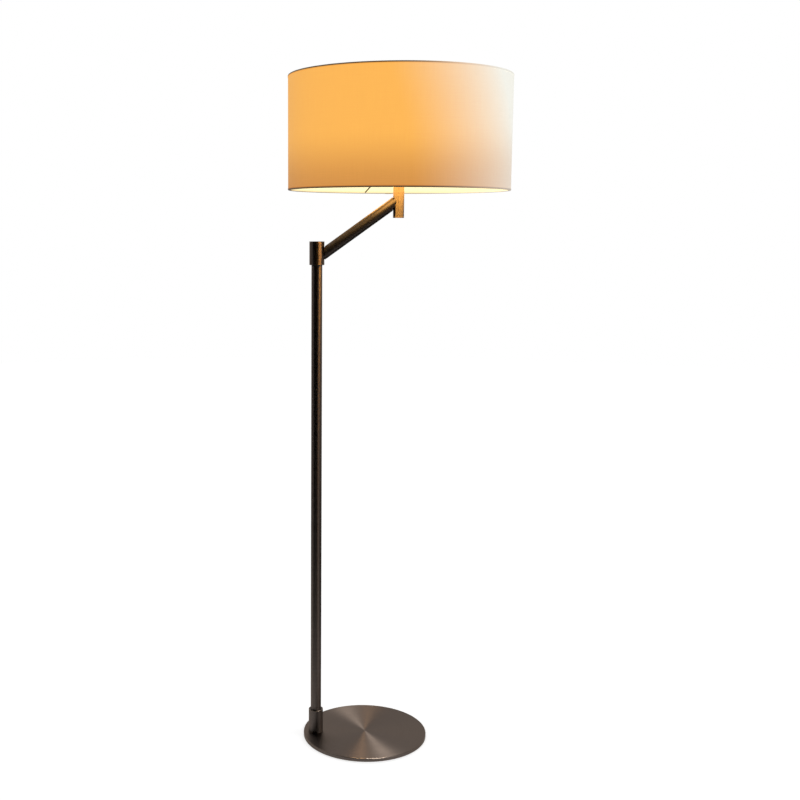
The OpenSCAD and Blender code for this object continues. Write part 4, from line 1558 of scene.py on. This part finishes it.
@dataclass
class Studio:
    """White floor and room, a soft key light, black cloth behind the camera, and the lamp's light."""

    floor_radius: float = 8.0
    floor_corners: int = 64
    floor_glow: float = 0.62
    floor_colour: Colour = rgb(232, 232, 232)
    ambient: float = 0.5
    cloth_colour: Colour = rgb(8, 7, 6)
    cloth_near: float = 0.45
    cloth_far: float = 3.4
    cloth_top: float = 4.2
    cloth_lift: float = 2 * MM
    ceiling_far: float = 1.7
    ceiling_near: float = 1 * MM
    cloth_turns: Pair = (-72.0, 33.0)
    back_turns: Pair = (64.0, 180.0)
    all_turns: Pair = (-180.0, 180.0)
    floor_reach: float = 1.1
    room_turns: Pair = (-125.0, 125.0)
    room_far: float = 3.6
    room_top: float = 4.2
    room_grey: Colour = rgb(184, 178, 172)
    sheet_columns: int = 49

    def build(self) -> None:
        """Sets up the floor, the background, the lights and the camera."""
        bpy.context.scene.view_settings.view_transform = "Standard"
        self.make_world()
        self.make_floor()
        self.make_surround()
        for light in self.lights():
            light.build()
        BulbLight().build()
        PhotoCamera().build()

    @staticmethod
    def lights() -> list[SoftLight]:
        """Plans the two lights of the room and the glows of the shade, which ride on the head.

        Returns:
            The lights.
        """
        shade = Extent.of("shade_liner")
        x, rim = shade.middle.x, shade.low.z
        mouth, wall, wide = rim + 12 * MM, rim + 60 * MM, 1.2 * shade.radius
        knuckle = (-0.12, 0.0, rim - 150 * MM)
        amber, gold, deep = (1.0, 0.51, 0.1), (1.0, 0.54, 0.12), (1.0, 0.49, 0.09)
        foot, pole, hub = ["base_plate", "foot_collar"], ["pole_tube"], ["hub_body", "hub_cap"]
        stem, arm = ["stem_tube", "stem_end_cap"], ["arm_tube", "arm_stem_plug", "arm_hub_plug"]
        disk, head = {"shape": Shape.DISK, "body": Body.HEAD}, {"body": Body.HEAD}
        return [
            SoftLight("key_right", (2.3, -0.4, 2.7), (0.0, 0.0, 0.8), size=(1.2, 1.2), power=8.0),
            SoftLight(
                "overhead", (0.75, 0.35, 2.5), ORIGIN, size=(0.7, 0.7), power=75.0,
                colour=(1.0, 0.95, 0.86), receivers=foot,
            ),
            SoftLight(
                "stem_glow", (x, shade.middle.y, mouth), (x, shade.middle.y, 0.0), size=(wide, wide),
                power=5.4, colour=amber, receivers=stem, **disk,
            ),
            SoftLight(
                "arm_end_glow", (-0.005, 0.06, mouth), (0.0, 0.0, 1.24), size=(0.08, 0.08),
                power=0.26, colour=gold, receivers=arm, **disk,
            ),
            SoftLight(
                "arm_side_glow", (0.035, -0.05, mouth), (0.04, 0.0, 1.25), size=(0.09, 0.09),
                power=0.16, colour=gold, receivers=arm, **disk,
            ),
            SoftLight(
                "arm_glow", (-0.06, 0.075, mouth), (-0.06, 0.0, 1.2), size=(0.12, 0.04),
                power=0.03, colour=gold, receivers=arm, **head,
            ),
            SoftLight(
                "pole_glow", (0.2, -0.04, rim + 80 * MM), knuckle, size=(0.3, 0.18),
                power=6.6, colour=deep, receivers=pole, **head,
            ),
            SoftLight(
                "hub_glow", (0.115, -0.21, wall), knuckle, size=(0.32, 0.16),
                power=4.1, colour=(1.0, 0.49, 0.12), receivers=hub, **head,
            ),
            SoftLight(
                "base_glow", (-0.1, 0.06, rim + 10 * MM), ORIGIN, size=(0.2, 0.2),
                power=11.0, colour=(1.0, 0.7, 0.42), receivers=foot, **head,
            ),
        ]

    @staticmethod
    def seen(graph: Graph) -> Socket:
        """Finds the rays that see the set as bright as the background.

        Args:
            graph: The tree that asks.

        Returns:
            1 for rays of the camera, of reflections and through glass, and 0 for the rest.
        """
        path = graph.add("ShaderNodeLightPath").outputs
        mirrored = graph.math("MAXIMUM", path["Is Glossy Ray"], path["Is Transmission Ray"])
        return graph.math("MAXIMUM", path["Is Camera Ray"], mirrored)

    def make_world(self) -> None:
        """Makes the white background and the even light of the room."""
        world = bpy.data.worlds.new("room")
        bpy.context.scene.world = world
        world.use_nodes = True
        world.node_tree.nodes.clear()
        g = Graph(world.node_tree)
        room = g.add("ShaderNodeBackground", {"Color": WHITE, "Strength": self.ambient})
        white = g.add("ShaderNodeBackground", {"Color": WHITE, "Strength": 1.0})
        both = g.add("ShaderNodeMixShader", {0: self.seen(g), 1: room.outputs[0], 2: white.outputs[0]})
        g.add("ShaderNodeOutputWorld", {"Surface": both.outputs[0]})

    def make_floor(self) -> None:
        """Makes the pale floor, which keeps the lamp's shadow."""
        angles = np.linspace(0, math.tau, self.floor_corners, endpoint=False)
        rim = [(self.floor_radius * math.cos(a), self.floor_radius * math.sin(a), 0.0) for a in angles]
        material = bare_material("pale_floor")
        g = Graph(material.node_tree)
        matt = g.add("ShaderNodeBsdfDiffuse", {"Color": self.floor_colour})
        strength = g.product(self.seen(g), self.floor_glow)
        glow = g.add("ShaderNodeEmission", {"Color": WHITE, "Strength": strength})
        both = g.add("ShaderNodeAddShader", {0: matt.outputs[0], 1: glow.outputs[0]})
        g.add("ShaderNodeOutputMaterial", {"Surface": both.outputs[0]})
        mesh = bpy.data.meshes.new("floor")
        mesh.from_pydata(rim, [], [tuple(range(len(rim)))])
        mesh.materials.append(material)
        floor = hold("floor", mesh)

    def make_surround(self) -> None:
        """Hangs the dim room round the set, black behind the camera, which only reflections show."""
        near, reach, far, ceiling = self.cloth_near, self.floor_reach, self.cloth_far, self.ceiling_far
        lift, top = self.cloth_lift, self.cloth_top
        self.hang("front_floor", [(near, lift), (reach, lift)], self.cloth_turns)
        self.hang("back_floor", [(near, lift), (reach, lift)], self.back_turns)
        self.hang("black_floor", [(reach, lift), (far, lift)], self.all_turns)
        self.hang("black_cloth", [(far, 0.0), (far, top)], self.cloth_turns)
        self.hang("black_ceiling", [(far, top), (ceiling, top)], self.cloth_turns)
        self.hang("dark_ceiling", [(ceiling, top), (self.ceiling_near, top)], self.all_turns)
        walls = [(self.room_far, 0.0), (self.room_far, self.room_top)]
        self.hang("dim_wall", walls, self.room_turns, self.room_grey)

    def hang(self, name: str, path: Profile, degrees: Pair, colour: Colour | None = None) -> None:
        """Makes a curved sheet of the surround, which glows evenly and which only reflections show.

        Args:
            name: The sheet's name.
            path: Its section, as distance from the pole and height.
            degrees: Where it starts and ends round the pole, from the camera's side towards +X.
            colour: Its colour, or None for the black of the cloth.
        """
        turns = np.radians(np.linspace(*degrees, self.sheet_columns))
        axis = Extent.of("pole_tube").middle.x
        points = [(axis + r * math.sin(a), -r * math.cos(a), z) for a in turns for r, z in path]
        faces = [(i, i + 1, i + 3, i + 2) for i in range(0, 2 * len(turns) - 2, 2)]
        material = bare_material(name)
        g = Graph(material.node_tree)
        glow = g.add("ShaderNodeEmission", {"Color": colour or self.cloth_colour, "Strength": 1.0})
        g.add("ShaderNodeOutputMaterial", {"Surface": glow.outputs[0]})
        mesh = bpy.data.meshes.new(name)
        mesh.from_pydata(points, [], faces)
        mesh.materials.append(material)
        sheet = hold(name, mesh)
        for ray in ("camera", "diffuse", "shadow", "transmission"):
            setattr(sheet, "visible_" + ray, False)


def main() -> None:
    """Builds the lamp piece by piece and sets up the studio."""
    logging.basicConfig(level=logging.INFO, format="%(message)s")
    palette = Palette(Effects())
    threads = thread_tree()
    Base(palette).build()
    Pole(palette).build()
    Swivel(palette).build()
    Arm(palette).build()
    LampHolder(palette, threads).build()
    Lamp(palette, threads).build()
    Shade(palette, sheet_tree(), bead_tree()).build()
    Studio().build()


if __name__ == "__main__":
    main()
